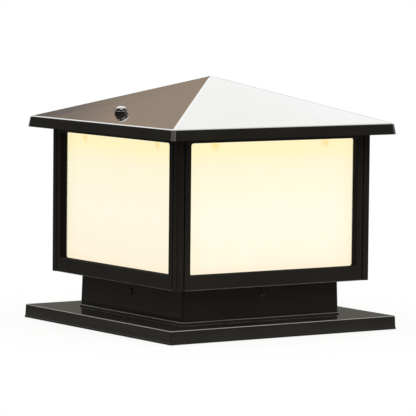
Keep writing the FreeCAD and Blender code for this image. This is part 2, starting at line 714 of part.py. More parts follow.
# ---------------------------------------------------------------- roof
def roof_block(drop):
    """The roof's outer form as a solid, lowered by drop and carried down below the eave."""
    rim_half = EAVE_HALF - RIM_RUN
    rim_z = EAVE_TOP + RIM_RISE
    rim_corner = EAVE_CORNER - RIM_RUN / 2
    rim = frustum(EAVE_HALF, rim_half, EAVE_TOP, rim_z, EAVE_CORNER, rim_corner)
    slopes = frustum(rim_half, APEX_WIDTH / 2, rim_z, APEX, rim_corner, APEX_CORNER)
    solid = rim.fuse(slopes)
    solid.translate(Vector(0, 0, -drop))
    return solid


def roof_slope():
    """Rise over run of the slopes."""
    run = EAVE_HALF - RIM_RUN - APEX_WIDTH / 2
    return (ROOF_RISE - RIM_RISE) / run


def skin_drop():
    """The skin's thickness measured straight down."""
    return ROOF_SHEET * math.sqrt(1 + roof_slope() ** 2)


def stud_holes():
    """The clearance holes for both studs, through the whole roof."""
    diameter = STUD_DIAMETER + 2 * STUD_CLEARANCE
    return [rod(diameter, BODY_TOP, APEX, x, 0) for x in (-STUD_X, STUD_X)]


def roof_z(x):
    """The skin's outer height above a point on the X axis."""
    return APEX - roof_slope() * (abs(x) - APEX_WIDTH / 2)


WASHER_TOP = roof_z(STUD_X - WASHER_DIAMETER / 2) + WASHER_LEAST


def make_roof_skin():
    """The four-sided roof sheet, with its edge folded down more steeply."""
    return cut_all(roof_block(0).cut(roof_block(skin_drop())), stud_holes())


def make_eave_band():
    """The band below the skin: a splayed face, a ledge over the body and a flange turned in below."""
    low_half = EAVE_HALF + EAVE_SPLAY
    outer = frustum(low_half, EAVE_HALF, EAVE_BOTTOM, EAVE_TOP, EAVE_CORNER, EAVE_CORNER)
    cavity_corner = max(EAVE_CORNER - EAVE_SHEET, LEAST_CORNER)
    cavity = frustum(
        low_half - EAVE_SHEET, EAVE_HALF - EAVE_SHEET,
        EAVE_BOTTOM + EAVE_SHEET, LEDGE_BOTTOM, cavity_corner, cavity_corner,
    )
    mouth = slab(BODY_HALF + EAVE_MOUTH_GAP, EAVE_BOTTOM, EAVE_BOTTOM + EAVE_SHEET)
    opening = slab(BODY_HALF - LEDGE_OVERLAP, LEDGE_BOTTOM, EAVE_TOP)
    return cut_all(outer, [cavity, mouth, opening] + stud_holes())


def make_roof_gasket():
    """The foam strip between the head ring and the roof's ledge."""
    outer_half = RING_HALF - GASKET_INSET
    outer = slab(outer_half, RING_TOP, LEDGE_BOTTOM)
    return cut_all(outer, [slab(outer_half - GASKET_WIDTH, RING_TOP, LEDGE_BOTTOM)] + stud_holes())


def make_spacers():
    """Sleeves round the studs that keep the nuts from bending the skin."""
    below = roof_block(skin_drop())
    sleeves = []
    for x in (-STUD_X, STUD_X):
        outside = STUD_DIAMETER + 2 * (STUD_CLEARANCE + SPACER_WALL)
        sleeve = rod(outside, EAVE_TOP, APEX, x, 0).common(below)
        sleeves.append(cut_all(sleeve, stud_holes()))
    return Part.makeCompound(sleeves)


def make_taper_washers():
    """Two washers with a sloping foot, which give the nuts a level seat."""
    roof = roof_block(0)
    washers = []
    for x in (-STUD_X, STUD_X):
        washer = rod(WASHER_DIAMETER, EAVE_TOP + RIM_RISE, WASHER_TOP, x, 0)
        washers.append(cut_all(washer, [roof] + stud_holes()))
    return Part.makeCompound(washers)


def make_roof_nut(x):
    """A low dome nut: a short hexagon under a round crown, bored blind for the stud."""
    hex_top = WASHER_TOP + NUT_HEX_HEIGHT
    crown_radius = NUT_FLATS / 2
    sphere = (crown_radius ** 2 + NUT_DOME_HEIGHT ** 2) / (2 * NUT_DOME_HEIGHT)
    ball = Part.makeSphere(sphere, Vector(x, 0, hex_top + NUT_DOME_HEIGHT - sphere))
    crown = ball.common(rod(NUT_FLATS, hex_top, hex_top + 2 * NUT_DOME_HEIGHT, x, 0))
    nut = fused(hexagon(NUT_FLATS, WASHER_TOP, hex_top, x, 0), crown)
    bore_top = RING_TOP + STUD_HEIGHT + 2 * HOLE_CLEARANCE
    return nut.cut(rod(STUD_DIAMETER + 2 * THREAD_CLEARANCE, BODY_TOP, bore_top, x, 0))


# ---------------------------------------------------------------- lamp
def make_bracket():
    """A low bridge on the floor that carries the lamp holder."""
    half = BRACKET_LENGTH / 2
    side = BRACKET_WIDTH / 2
    top = FLOOR_TOP + BRACKET_HEIGHT
    foot = half + BRACKET_FOOT
    bridge = fused(
        block(-half, half, -side, side, top - BRACKET_SHEET, top),
        block(-half, -half + BRACKET_SHEET, -side, side, FLOOR_TOP, top),
        block(half - BRACKET_SHEET, half, -side, side, FLOOR_TOP, top),
        block(-foot, -half + BRACKET_SHEET, -side, side, FLOOR_TOP, FLOOR_TOP + BRACKET_SHEET),
        block(half - BRACKET_SHEET, foot, -side, side, FLOOR_TOP, FLOOR_TOP + BRACKET_SHEET),
    )
    hole = SMALL_SCREW + 2 * THREAD_CLEARANCE
    holes = [rod(hole, FLOOR_TOP - PAST, FLOOR_TOP + BRACKET_SHEET + PAST, x, y) for x, y in bracket_screw_places()]
    return cut_all(bridge, holes)


def make_holder():
    """The ceramic lamp holder, hollow from the top down to its floor."""
    outside = HOLDER_DIAMETER / 2
    bore = SHELL_RADIUS + THREAD_CLEARANCE
    well = HOLDER_BOTTOM + HOLDER_FLOOR
    return turned_profile([
        (0, HOLDER_BOTTOM),
        (outside + HOLDER_FOOT_STEP, HOLDER_BOTTOM),
        (outside + HOLDER_FOOT_STEP, HOLDER_BOTTOM + HOLDER_FOOT_HEIGHT),
        (outside, HOLDER_BOTTOM + HOLDER_FOOT_HEIGHT + HOLDER_SHOULDER),
        (outside - HOLDER_DRAFT, HOLDER_TOP - HOLDER_BEVEL),
        (outside - HOLDER_RIM, HOLDER_TOP),
        (bore, HOLDER_TOP),
        (bore, well),
        (0, well),
    ])


def make_holder_shell():
    """The brass screw shell, drawn here without its thread."""
    bottom = SHELL_TOP - SHELL_HEIGHT
    return rod(SHELL_DIAMETER, bottom, SHELL_TOP).cut(rod(2 * SHELL_BORE, bottom, SHELL_TOP))


def make_holder_contact():
    """The centre contact on the holder's floor."""
    well = HOLDER_BOTTOM + HOLDER_FLOOR
    return rod(CONTACT_DIAMETER, well, well + CONTACT_HEIGHT)


def make_lamp_cap():
    """The lamp's screw cap with its tip, which stops just above the contact."""
    low = LAMP_BOTTOM - CAP_LENGTH
    return turned_profile([
        (0, low - CAP_TIP),
        (CAP_TIP_RADIUS, low - CAP_TIP),
        (CAP_TIP_RADIUS + CAP_TIP_FLARE, low),
        (CAP_RADIUS - CAP_BEVEL, low),
        (CAP_RADIUS, low + CAP_BEVEL),
        (CAP_RADIUS, LAMP_BOTTOM),
        (0, LAMP_BOTTOM),
    ])


def make_lamp_body():
    """The lamp's flared plastic body."""
    top = LAMP_BOTTOM + LAMP_BODY_HEIGHT
    return turned_profile([
        (0, LAMP_BOTTOM),
        (LAMP_COLLAR / 2, LAMP_BOTTOM),
        (LAMP_COLLAR / 2 + LAMP_COLLAR_FLARE, LAMP_BOTTOM + LAMP_COLLAR_HEIGHT),
        (LAMP_DIAMETER / 2 - LAMP_SHOULDER_STEP, top - LAMP_SHOULDER),
        (LAMP_DIAMETER / 2 - LAMP_EDGE, top),
        (0, top),
    ])


def make_lamp_globe():
    """The lamp's diffuser: a short barrel under a dome."""
    low = LAMP_BOTTOM + LAMP_BODY_HEIGHT
    radius = LAMP_DIAMETER / 2
    shoulder = low + LAMP_GLOBE_HEIGHT - radius
    ball = Part.makeSphere(radius, Vector(0, 0, shoulder))
    dome = ball.common(rod(LAMP_DIAMETER, shoulder, shoulder + radius))
    barrel = Part.makeCone(radius - LAMP_EDGE, radius, shoulder - low, Vector(0, 0, low))
    return fused(barrel, dome)


# ---------------------------------------------------------------- wiring
def make_gland_body():
    """The gland's body: thread through the floor, hexagon below it and a barrel for the seal."""
    seal_radius = CABLE_BORE / 2 + SEAL_WALL
    hex_low = FLOOR_BOTTOM - GLAND_HEX_HEIGHT
    low = hex_low - GLAND_BARREL
    body = fused(
        rod(GLAND_THREAD, FLOOR_BOTTOM - PAST, FLOOR_TOP + GLAND_ABOVE, GLAND_X, GLAND_Y),
        hexagon(GLAND_FLATS, hex_low, FLOOR_BOTTOM, GLAND_X, GLAND_Y),
        rod(GLAND_BARREL_WIDTH, low, hex_low, GLAND_X, GLAND_Y),
    )
    bore = rod(GLAND_MOUTH, low - PAST, FLOOR_TOP + GLAND_ABOVE + PAST, GLAND_X, GLAND_Y)
    pocket = rod(2 * seal_radius, low - PAST, hex_low, GLAND_X, GLAND_Y)
    return cut_all(body, [bore, pocket])


def make_gland_seal():
    """The rubber sleeve that grips the supply cable."""
    hex_low = FLOOR_BOTTOM - GLAND_HEX_HEIGHT
    low = hex_low - GLAND_BARREL
    sleeve = rod(CABLE_BORE + 2 * SEAL_WALL, low, hex_low, GLAND_X, GLAND_Y)
    return sleeve.cut(rod(CABLE_BORE, low - PAST, hex_low + PAST, GLAND_X, GLAND_Y))


def make_gland_nut():
    """The lock nut on top of the floor."""
    nut = hexagon(GLAND_FLATS, FLOOR_TOP, FLOOR_TOP + GLAND_NUT_HEIGHT, GLAND_X, GLAND_Y)
    bore_top = FLOOR_TOP + GLAND_NUT_HEIGHT + PAST
    bore = rod(GLAND_THREAD + 2 * THREAD_CLEARANCE, FLOOR_TOP - PAST, bore_top, GLAND_X, GLAND_Y)
    return nut.cut(bore)


def make_gland_cap():
    """The gland's cap, which turns on the barrel and squeezes the seal."""
    hex_low = FLOOR_BOTTOM - GLAND_HEX_HEIGHT
    top = hex_low - GLAND_CAP_GAP
    low = top - GLAND_CAP_HEIGHT
    rim = GLAND_FLATS / 2
    cap = fused(
        hexagon(GLAND_FLATS, low + GLAND_CAP_BEVEL, top, GLAND_X, GLAND_Y),
        Part.makeCone(rim - GLAND_CAP_BEVEL, rim, GLAND_CAP_BEVEL, Vector(GLAND_X, GLAND_Y, low)),
    )
    cup_floor = hex_low - GLAND_BARREL - RUNNING_GAP
    cup = rod(GLAND_BARREL_WIDTH + 2 * THREAD_CLEARANCE, cup_floor, top + PAST, GLAND_X, GLAND_Y)
    mouth = rod(GLAND_MOUTH, low - PAST, top, GLAND_X, GLAND_Y)
    return cut_all(cap, [cup, mouth])


def pole_y(pole):
    """The place of a terminal along the block."""
    return BLOCK_Y + (pole - (BLOCK_POLES - 1) / 2) * POLE_PITCH


def make_terminal_block():
    """The terminal block, with a wire hole and a screw well for each pole."""
    x_half = BLOCK_WIDTH / 2
    y_half = BLOCK_LENGTH / 2
    body = block(
        BLOCK_X - x_half, BLOCK_X + x_half, BLOCK_Y - y_half, BLOCK_Y + y_half,
        FLOOR_TOP, FLOOR_TOP + BLOCK_HEIGHT,
    )
    top_edges = [edge for edge in body.Edges if edge.BoundBox.ZMin > FLOOR_TOP + BLOCK_HEIGHT - TOUCH]
    body = body.makeChamfer(BLOCK_CHAMFER, top_edges)
    tools = []
    for pole in range(BLOCK_POLES):
        y = pole_y(pole)
        mouth = Vector(BLOCK_X + x_half - TERMINAL_DEPTH, y, FLOOR_TOP + BLOCK_HEIGHT / 2)
        radius = WIRE_DIAMETER / 2 + THREAD_CLEARANCE
        tools.append(Part.makeCylinder(radius, TERMINAL_DEPTH + PAST, mouth, Vector(1, 0, 0)))
        block_top = FLOOR_TOP + BLOCK_HEIGHT
        tools.append(rod(WELL_WIDTH, block_top - WELL_DEPTH, block_top + PAST, BLOCK_X, y))
    return cut_all(body, tools)


def make_earth_stud():
    """The earth bolt with its nut, on the floor."""
    head = hexagon(FOOT_NUT_FLATS, FLOOR_BOTTOM - EARTH_HEAD_HEIGHT, FLOOR_BOTTOM, EARTH_X, EARTH_Y)
    shank = rod(FOOT_BOLT, FLOOR_BOTTOM - PAST, FLOOR_TOP + EARTH_ABOVE, EARTH_X, EARTH_Y)
    nut = hexagon(FOOT_NUT_FLATS, FLOOR_TOP, FLOOR_TOP + FOOT_NUT_HEIGHT, EARTH_X, EARTH_Y)
    bore = rod(FOOT_BOLT + 2 * THREAD_CLEARANCE, FLOOR_TOP - PAST, FLOOR_TOP + EARTH_ABOVE, EARTH_X, EARTH_Y)
    nut = nut.cut(bore)
    return Part.makeCompound([fused(head, shank), nut])


def make_lamp_wires():
    """Two wires from the block to the side of the lamp holder's foot."""
    wire_z = FLOOR_TOP + BLOCK_HEIGHT / 2
    mouth_x = BLOCK_X + BLOCK_WIDTH / 2 - TERMINAL_DEPTH
    turn_x = mouth_x + LAMP_WIRE_LEAD
    foot_diameter = HOLDER_DIAMETER + 2 * HOLDER_FOOT_STEP
    holder_foot = rod(foot_diameter, HOLDER_BOTTOM, HOLDER_TOP)
    wires = []
    for pole, aim in ((0, -WIRE_AIM), (1, WIRE_AIM)):
        y = pole_y(pole)
        end_z = HOLDER_BOTTOM + HOLDER_FOOT_HEIGHT / 2
        end_x = LAMP_WIRE_BITE - math.sqrt((foot_diameter / 2) ** 2 - aim ** 2)
        points = [
            Vector(mouth_x, y, wire_z),
            Vector(turn_x, y, wire_z),
            Vector(turn_x + LAMP_WIRE_TURN, (y + aim) / 2, wire_z + LAMP_WIRE_HUMP),
            Vector(end_x - LAMP_WIRE_END, aim, end_z + LAMP_WIRE_RISE),
            Vector(end_x, aim, end_z),
        ]
        wires.append(route_tube(points, WIRE_DIAMETER).cut(holder_foot))
    return Part.makeCompound(wires)


def make_earth_wire():
    """The earth wire from the block's last pole to the earth bolt's nut."""
    wire_z = FLOOR_TOP + BLOCK_HEIGHT / 2
    mouth_x = BLOCK_X + BLOCK_WIDTH / 2 - TERMINAL_DEPTH
    y = pole_y(BLOCK_POLES - 1)
    turn_x = mouth_x + EARTH_WIRE_LEAD
    nut_x = EARTH_X + FOOT_NUT_FLATS / math.sqrt(3)
    end_z = FLOOR_TOP + FOOT_NUT_HEIGHT / 2
    points = [
        Vector(mouth_x, y, wire_z),
        Vector(turn_x, y, wire_z),
        Vector(turn_x + EARTH_WIRE_TURN, (y + EARTH_Y) / 2 - EARTH_WIRE_BOW, wire_z + EARTH_WIRE_HUMP),
        Vector(nut_x + EARTH_WIRE_END, EARTH_Y - EARTH_WIRE_SIDE, wire_z - EARTH_WIRE_DIP),
        Vector(nut_x - EARTH_WIRE_BITE, EARTH_Y, end_z),
    ]
    nut = hexagon(FOOT_NUT_FLATS, FLOOR_TOP, FLOOR_TOP + FOOT_NUT_HEIGHT, EARTH_X, EARTH_Y)
    return route_tube(points, WIRE_DIAMETER).cut(nut)


# ---------------------------------------------------------------- the whole light
pieces["base_plate"] = make_base()
pieces["base_rail_left"] = make_rail(-BOLT_OFFSET)
pieces["base_rail_right"] = make_rail(BOLT_OFFSET)
pieces["neck"] = make_neck()
pieces["neck_foot_bolts"], pieces["neck_foot_nuts"] = make_foot_bolts()
pieces["neck_gasket"] = make_neck_gasket()

neck_screw = make_neck_screw()
post = make_post()
face_frame = make_face_frame()
seal = make_seal()
panel = make_panel()
for quarter, side in enumerate(SIDES):
    pieces[f"neck_screw_{side}"] = on_side(neck_screw, quarter)
    pieces[f"face_frame_{side}"] = on_side(face_frame, quarter)
    pieces[f"panel_seal_{side}"] = on_side(seal, quarter)
    pieces[f"opal_panel_{side}"] = on_side(panel, quarter)
for quarter, corner in enumerate(CORNERS):
    pieces[f"corner_post_{corner}"] = on_side(post, quarter)

pieces["lantern_floor"] = make_floor()
pieces["floor_collar"] = make_collar()
pieces["panel_stops"] = make_panel_stops()
pieces["panel_clips"] = make_panel_clips()
pieces["head_ring"] = make_head_ring()
pieces["ring_screws"] = Part.makeCompound([on_side(ring_screw(0), quarter) for quarter in range(4)])
pieces["small_screws"] = make_small_screws()
pieces["roof_studs"] = make_studs()
pieces["roof_gasket"] = make_roof_gasket()

pieces["roof_skin"] = make_roof_skin()
pieces["eave_band"] = make_eave_band()
pieces["roof_spacers"] = make_spacers()
pieces["taper_washers"] = make_taper_washers()
pieces["roof_nut_left"] = make_roof_nut(-STUD_X)
pieces["roof_nut_right"] = make_roof_nut(STUD_X)

pieces["lamp_bracket"] = make_bracket()
pieces["lamp_holder"] = make_holder()
pieces["holder_shell"] = make_holder_shell()
pieces["holder_contact"] = make_holder_contact()
pieces["lamp_cap"] = make_lamp_cap()
pieces["lamp_body"] = make_lamp_body()
pieces["lamp_globe"] = make_lamp_globe()

pieces["gland_body"] = make_gland_body()
pieces["gland_seal"] = make_gland_seal()
pieces["gland_locknut"] = make_gland_nut()
pieces["gland_cap"] = make_gland_cap()
pieces["terminal_block"] = make_terminal_block()
pieces["earth_bolt"] = make_earth_stud()
pieces["lamp_wires"] = make_lamp_wires()
pieces["earth_wire"] = make_earth_wire()

os.makedirs("parts", exist_ok=True)
for name, shape in pieces.items():
    if not shape.isValid():
        raise ValueError(f"{name} is not a valid shape")
    shape.exportStep(f"parts/{name}.step")
print(f"{len(pieces)} pieces, {sum(len(shape.Solids) for shape in pieces.values())} solids")
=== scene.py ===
# %% [markdown]
# # A deck post cap light, dressed for the camera
#
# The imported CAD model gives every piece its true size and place. This lesson keeps that frame and
# adds what a solid can't show: rolled and folded edges, threads, a polished roof, black powder
# coat, lit opal windows, and a plain studio with a camera.
#
# Everything is in metres, with +Z up. The front window faces -Y and the left one faces -X. Sizes
# of pieces are written in millimetres and turned into metres where the mesh is made.

import json
import math

import bmesh
import bpy
from mathutils import Matrix, Vector

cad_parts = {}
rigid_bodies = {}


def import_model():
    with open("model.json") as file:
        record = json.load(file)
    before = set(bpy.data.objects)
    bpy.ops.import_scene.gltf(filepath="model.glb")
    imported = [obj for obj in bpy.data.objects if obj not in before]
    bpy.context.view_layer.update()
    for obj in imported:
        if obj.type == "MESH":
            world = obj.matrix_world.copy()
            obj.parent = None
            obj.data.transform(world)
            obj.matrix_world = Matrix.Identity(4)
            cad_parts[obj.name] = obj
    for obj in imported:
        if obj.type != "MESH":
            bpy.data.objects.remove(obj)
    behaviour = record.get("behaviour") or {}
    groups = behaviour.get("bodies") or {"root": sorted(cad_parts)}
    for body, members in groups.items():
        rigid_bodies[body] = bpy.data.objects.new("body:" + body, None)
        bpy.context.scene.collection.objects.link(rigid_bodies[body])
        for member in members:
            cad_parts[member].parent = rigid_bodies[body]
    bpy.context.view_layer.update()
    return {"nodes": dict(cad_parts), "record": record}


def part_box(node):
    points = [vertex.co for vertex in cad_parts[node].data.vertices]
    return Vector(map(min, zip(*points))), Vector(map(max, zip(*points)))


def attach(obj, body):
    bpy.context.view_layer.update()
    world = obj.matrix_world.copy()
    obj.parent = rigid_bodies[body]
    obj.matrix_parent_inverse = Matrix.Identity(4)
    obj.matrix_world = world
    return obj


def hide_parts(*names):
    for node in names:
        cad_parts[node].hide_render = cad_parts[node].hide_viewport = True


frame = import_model()
MM = 0.001
nodes = frame["nodes"]


def reach(node):
    """A CAD node's lowest and highest corners, in millimetres."""
    low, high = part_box(node)
    return low / MM, high / MM


# %% [markdown]
# ## The camera
#
# The photograph was taken from a little to the left of the front corner, almost level with the
# light, through a long lens: the vertical edges stay upright and far edges hardly shrink. So the
# camera stands far back with a narrow lens, and aims at the middle of the light.

# %% Make the camera
CAMERA_AZIMUTH = math.radians(-34.127)
CAMERA_HEIGHT = math.radians(4.785)
CAMERA_ROLL = math.radians(0.575)
CAMERA_DISTANCE = 3.8204
AIM_RIGHT = -0.0004
AIM_UP = 0.1307
LENS = 290.7

camera_data = bpy.data.cameras.new("photo_camera")
camera_data.lens = LENS
camera_data.sensor_width = 36.0
camera_data.clip_end = 100.0
camera = bpy.data.objects.new("photo_camera", camera_data)
bpy.context.scene.collection.objects.link(camera)
bpy.context.scene.camera = camera
towards_camera = Vector((
    math.sin(CAMERA_AZIMUTH) * math.cos(CAMERA_HEIGHT),
    -math.cos(CAMERA_AZIMUTH) * math.cos(CAMERA_HEIGHT),
    math.sin(CAMERA_HEIGHT),
))
level = (-towards_camera).to_track_quat("-Z", "Y")
rolled = level @ Matrix.Rotation(CAMERA_ROLL, 4, "Z").to_quaternion()
camera.rotation_mode = "QUATERNION"
camera.rotation_quaternion = rolled
aim = rolled @ Vector((AIM_RIGHT, AIM_UP, 0))
camera.location = towards_camera * CAMERA_DISTANCE + aim
print("camera at", [round(value, 4) for value in camera.location])

# %% [markdown]
# ## The studio
#
# The light stands on a pale card that runs far back, so that no edge of it shows. The card is
# nearly white where the camera looks at it or through glass, yet the soft shadow round the base
# stays. Metal shows a share of that white as well. The rest of a reflection is a painted pool of
# light: bright only near the light, falling off to a dark grey and darker at the back left, as a
# table looks under one soft lamp. That painted dark grey is what keeps the black coat black.

# %% A node tree helper that every material and every Geometry Nodes tree uses
class Recipe:
    """A node tree, written step by step."""

    def __init__(self, tree):
        self.tree = tree
        self.tree.nodes.clear()

    def node(self, kind, settings=None, **inputs):
        """A new node with its settings and inputs; an input may be a value or another's output."""
        made = self.tree.nodes.new(kind)
        for name, value in (settings or {}).items():
            setattr(made, name, value)
        for name, value in inputs.items():
            numbered = name[0] == "i" and name[1:].isdigit()
            socket = made.inputs[int(name[1:]) if numbered else name.replace("_", " ")]
            if isinstance(value, bpy.types.NodeSocket):
                self.tree.links.new(value, socket)
            else:
                socket.default_value = value
        return made

    def maths(self, operation, first, second=0.0, third=0.0, clamp=False):
        """One step of arithmetic on numbers."""
        settings = {"operation": operation, "use_clamp": clamp}
        return self.node("ShaderNodeMath", settings, i0=first, i1=second, i2=third).outputs[0]

    def times(self, first, second, clamp=False):
        """The product of two numbers."""
        return self.maths("MULTIPLY", first, second, clamp=clamp)

    def plus(self, first, second, clamp=False):
        """The sum of two numbers."""
        return self.maths("ADD", first, second, clamp=clamp)

    def minus(self, first, second):
        """The first number less the second."""
        return self.maths("SUBTRACT", first, second)

    def unsigned(self, source):
        """The number without its sign."""
        return self.maths("ABSOLUTE", source)

    def across(self, first, second):
        """The distance that two steps at right angles cover."""
        return self.maths("SQRT", self.plus(self.times(first, first), self.times(second, second)))

    def ramp(self, source, *stops, ease="LINEAR"):
        """Colours picked by a number: each stop is (place, colour or grey)."""
        made = self.node("ShaderNodeValToRGB", None, Fac=source)
        band = made.color_ramp
        band.interpolation = ease
        while len(band.elements) < len(stops):
            band.elements.new(1.0)
        for element, (place, colour) in zip(band.elements, stops):
            element.position = place
            grey = isinstance(colour, (int, float))
            element.color = (colour, colour, colour, 1) if grey else (*colour, 1)
        return made.outputs["Color"]

    def blend(self, share, first, second, kind="MIX"):
        """Two colours mixed by a share."""
        made = self.node("ShaderNodeMix", {"data_type": "RGBA", "blend_type": kind})
        for socket, value in ((made.inputs[0], share), (made.inputs[6], first), (made.inputs[7], second)):
            if isinstance(value, bpy.types.NodeSocket):
                self.tree.links.new(value, socket)
            else:
                socket.default_value = value if isinstance(value, (int, float)) else (*value, 1)
        return made.outputs[2]

    def place(self, stretch=(1, 1, 1)):
        """The point on the piece, in metres, with each axis stretched."""
        spot = self.node("ShaderNodeTexCoord").outputs["Object"]
        if tuple(stretch) == (1, 1, 1):
            return spot
        return self.node("ShaderNodeMapping", None, Vector=spot, Scale=stretch).outputs[0]

    def grain(self, scale, detail=3.0, stretch=(1, 1, 1), rough=0.5):
        """Soft random patches; scale is patches a metre."""
        settings = {"noise_dimensions": "3D"}
        inputs = {"Vector": self.place(stretch), "Scale": scale, "Detail": detail, "Roughness": rough}
        return self.node("ShaderNodeTexNoise", settings, **inputs).outputs["Fac"]

    def axes(self):
        """The point's X, Y and Z as three numbers."""
        return self.node("ShaderNodeSeparateXYZ", None, Vector=self.place()).outputs

    def rising(self, source, low, high):
        """0 below low and 1 above high, with an even rise between; a ramp is too coarse for this."""
        made = self.node("ShaderNodeMapRange", {"clamp": True}, i0=source, i1=low, i2=high, i3=0.0, i4=1.0)
        return made.outputs[0]

    def facing_up(self):
        """The surface normal's Z: 1 on a level top, 0 on an upright face, -1 underneath."""
        true = self.node("ShaderNodeNewGeometry").outputs["Normal"]
        return self.node("ShaderNodeSeparateXYZ", None, Vector=true).outputs[2]


print("recipe helper ready")

# %% Make the pale card
CARD_HALF = 40.0
CARD_DROP = 0.2 * MM
WHITE_IN_METAL = 0.1  # the share of the card's white that metal reflects
# painted shade in reflections: the card's brightness at the back left
BACK_PAINTED_SHADE = 0.45  # how bright the card is at the back left, against the front right
# The card's colour in reflections, by half the distance from the light in metres: a painted pool of light
# that falls off to a dark grey.
CARD_PAINTED_LIGHT = (
    (0.13, (0.85, 0.82, 0.76)),
    (0.19, (0.4, 0.38, 0.34)),
    (0.45, (0.3, 0.28, 0.25)),
    (0.6, (0.12, 0.117, 0.11)),
)


def card_material():
    """Pale card: nearly white to the camera, and in reflections a painted pool of light that darkens with
    distance.
    """
    material = bpy.data.materials.new("pale_card")
    material.use_nodes = True
    recipe = Recipe(material.node_tree)
    speckle = recipe.grain(180, 4)
    spot = recipe.axes()
    away = recipe.across(spot[0], spot[1])
    paper = recipe.ramp(speckle, (0.3, (0.985, 0.985, 0.985)), (0.7, (1.0, 1.0, 1.0)))
    pale = recipe.node("ShaderNodeBsdfDiffuse", None, Color=paper)
    # a painted pool of light in reflections: bright near the light, dark grey further out
    painted_card_light = recipe.ramp(recipe.times(away, 0.5), *CARD_PAINTED_LIGHT)
    # painted shade in reflections towards the back left
    to_front = recipe.plus(0.5, recipe.minus(spot[0], spot[1]))
    front = recipe.ramp(to_front, (0.35, BACK_PAINTED_SHADE), (0.65, 1.0), ease="EASE")
    painted_card_light = recipe.blend(1.0, painted_card_light, front, "MULTIPLY")
    grey = recipe.node("ShaderNodeBsdfDiffuse", None, Color=painted_card_light)
    white = recipe.node("ShaderNodeEmission", None, Color=(1, 1, 1, 1), Strength=1.0)
    # the soft shadow shows beside the base, and is gone 45 cm from the middle
    share = recipe.ramp(away, (0.16, 0.80), (0.45, 1.0), ease="EASE")
    seen = recipe.node("ShaderNodeMixShader", None, Fac=share, i1=pale.outputs[0], i2=white.outputs[0])
    path = recipe.node("ShaderNodeLightPath").outputs
    looking = recipe.maths("MAXIMUM", path["Is Camera Ray"], path["Is Transmission Ray"])
    in_metal = recipe.times(path["Is Glossy Ray"], WHITE_IN_METAL)
    shown = recipe.maths("MAXIMUM", looking, in_metal)
    card = recipe.node("ShaderNodeMixShader", None, Fac=shown, i1=grey.outputs[0], i2=seen.outputs[0])
    recipe.node("ShaderNodeOutputMaterial", None, Surface=card.outputs[0])
    return material


card_mesh = bpy.data.meshes.new("pale_card")
card_corners = [(x * CARD_HALF, y * CARD_HALF, -CARD_DROP) for x, y in ((-1, -1), (1, -1), (1, 1), (-1, 1))]
card_mesh.from_pydata(card_corners, [], [(0, 1, 2, 3)])
card = bpy.data.objects.new("pale_card", card_mesh)
card_mesh.materials.append(card_material())
bpy.context.scene.collection.objects.link(card)
bpy.context.scene.view_settings.view_transform = "Standard"
print("card", 2 * CARD_HALF, "m wide")

# %% [markdown]
# ## What the polished roof reflects
#
# A mirror has no colour of its own, so the room decides how the roof looks. The photograph shows a
# taupe left slope, darker at its outer end, and a nearly white right slope. The left slope looks
# back at a part of the room 21 to 22 degrees up, and the right one looks 32 degrees up. So the room
# is dark at the horizon, taupe in a band just above 21 degrees, and white overhead, as under a wide
# soft box. High up, metal sees that box fall off to one side, so that the four slopes differ from
# above too. The camera and clear pieces see plain white.

# %% Make the room
# The room's colour by the sine of the angle above the horizon.
ROOM_BANDS = (
    # the dark end, which the base's top reflects
    (0.0, (0.20, 0.195, 0.17)),
    (0.12, (0.19, 0.185, 0.16)),
    # what the slopes that face away show from a higher place
    (0.18, (0.24, 0.225, 0.195)),
    (0.335, (0.27, 0.235, 0.20)),
    # the left slope's band: dark at its outer end, then taupe
    (0.352, (0.125, 0.113, 0.105)),
    (0.3585, (0.14, 0.125, 0.117)),
    (0.3665, (0.315, 0.248, 0.193)),
    (0.40, (0.335, 0.27, 0.212)),
    # the soft box overhead, a shade darker from where the right slope's middle looks
    (0.44, (1.0, 1.0, 1.0)),
    (0.528, (1.0, 1.0, 1.0)),
    (0.537, (0.95, 0.95, 0.94)),
    (0.57, (0.96, 0.96, 0.95)),
    (1.0, (0.97, 0.97, 0.965)),
)
# The soft box as metal sees it: it dims to this share, over these heights and this way.
BOX_LEAST = 0.7
BOX_HEIGHTS = (0.6, 0.8)
BOX_WAY = (0.8, 0.45)
BOX_HALF = 0.6


def make_room():
    """The world: white to the camera and through clear pieces, and the room's bands for the rest."""
    world = bpy.data.worlds.new("studio_room")
    bpy.context.scene.world = world
    world.use_nodes = True
    recipe = Recipe(world.node_tree)
    way = recipe.node("ShaderNodeTexCoord").outputs["Generated"]
    parts = recipe.node("ShaderNodeSeparateXYZ", None, Vector=way).outputs
    room = recipe.ramp(parts[2], *ROOM_BANDS)
    path = recipe.node("ShaderNodeLightPath").outputs
    sideways = recipe.plus(recipe.times(parts[0], BOX_WAY[0]), recipe.times(parts[1], BOX_WAY[1]))
    fall = recipe.times(recipe.rising(parts[2], *BOX_HEIGHTS), recipe.rising(sideways, -BOX_HALF, BOX_HALF))
    over_roof = recipe.ramp(fall, (0.0, 1.0), (1.0, BOX_LEAST))
    in_metal = recipe.blend(path["Is Glossy Ray"], (1.0, 1.0, 1.0), over_roof)
    room = recipe.blend(1.0, room, in_metal, "MULTIPLY")
    looking = recipe.maths("MAXIMUM", path["Is Camera Ray"], path["Is Transmission Ray"])
    colour = recipe.blend(looking, room, (1.0, 1.0, 1.0))
    sky = recipe.node("ShaderNodeBackground", None, Color=colour, Strength=1.0)
    recipe.node("ShaderNodeOutputWorld", None, Surface=sky.outputs[0])


make_room()
print("room with", len(ROOM_BANDS), "colour stops from the horizon to overhead")

# %% Hang one soft lamp
LAMP_SIZE = 1.6
LAMP_WATTS = 16.0
LAMP_PLACE = (-0.7, -1.2, 2.6)

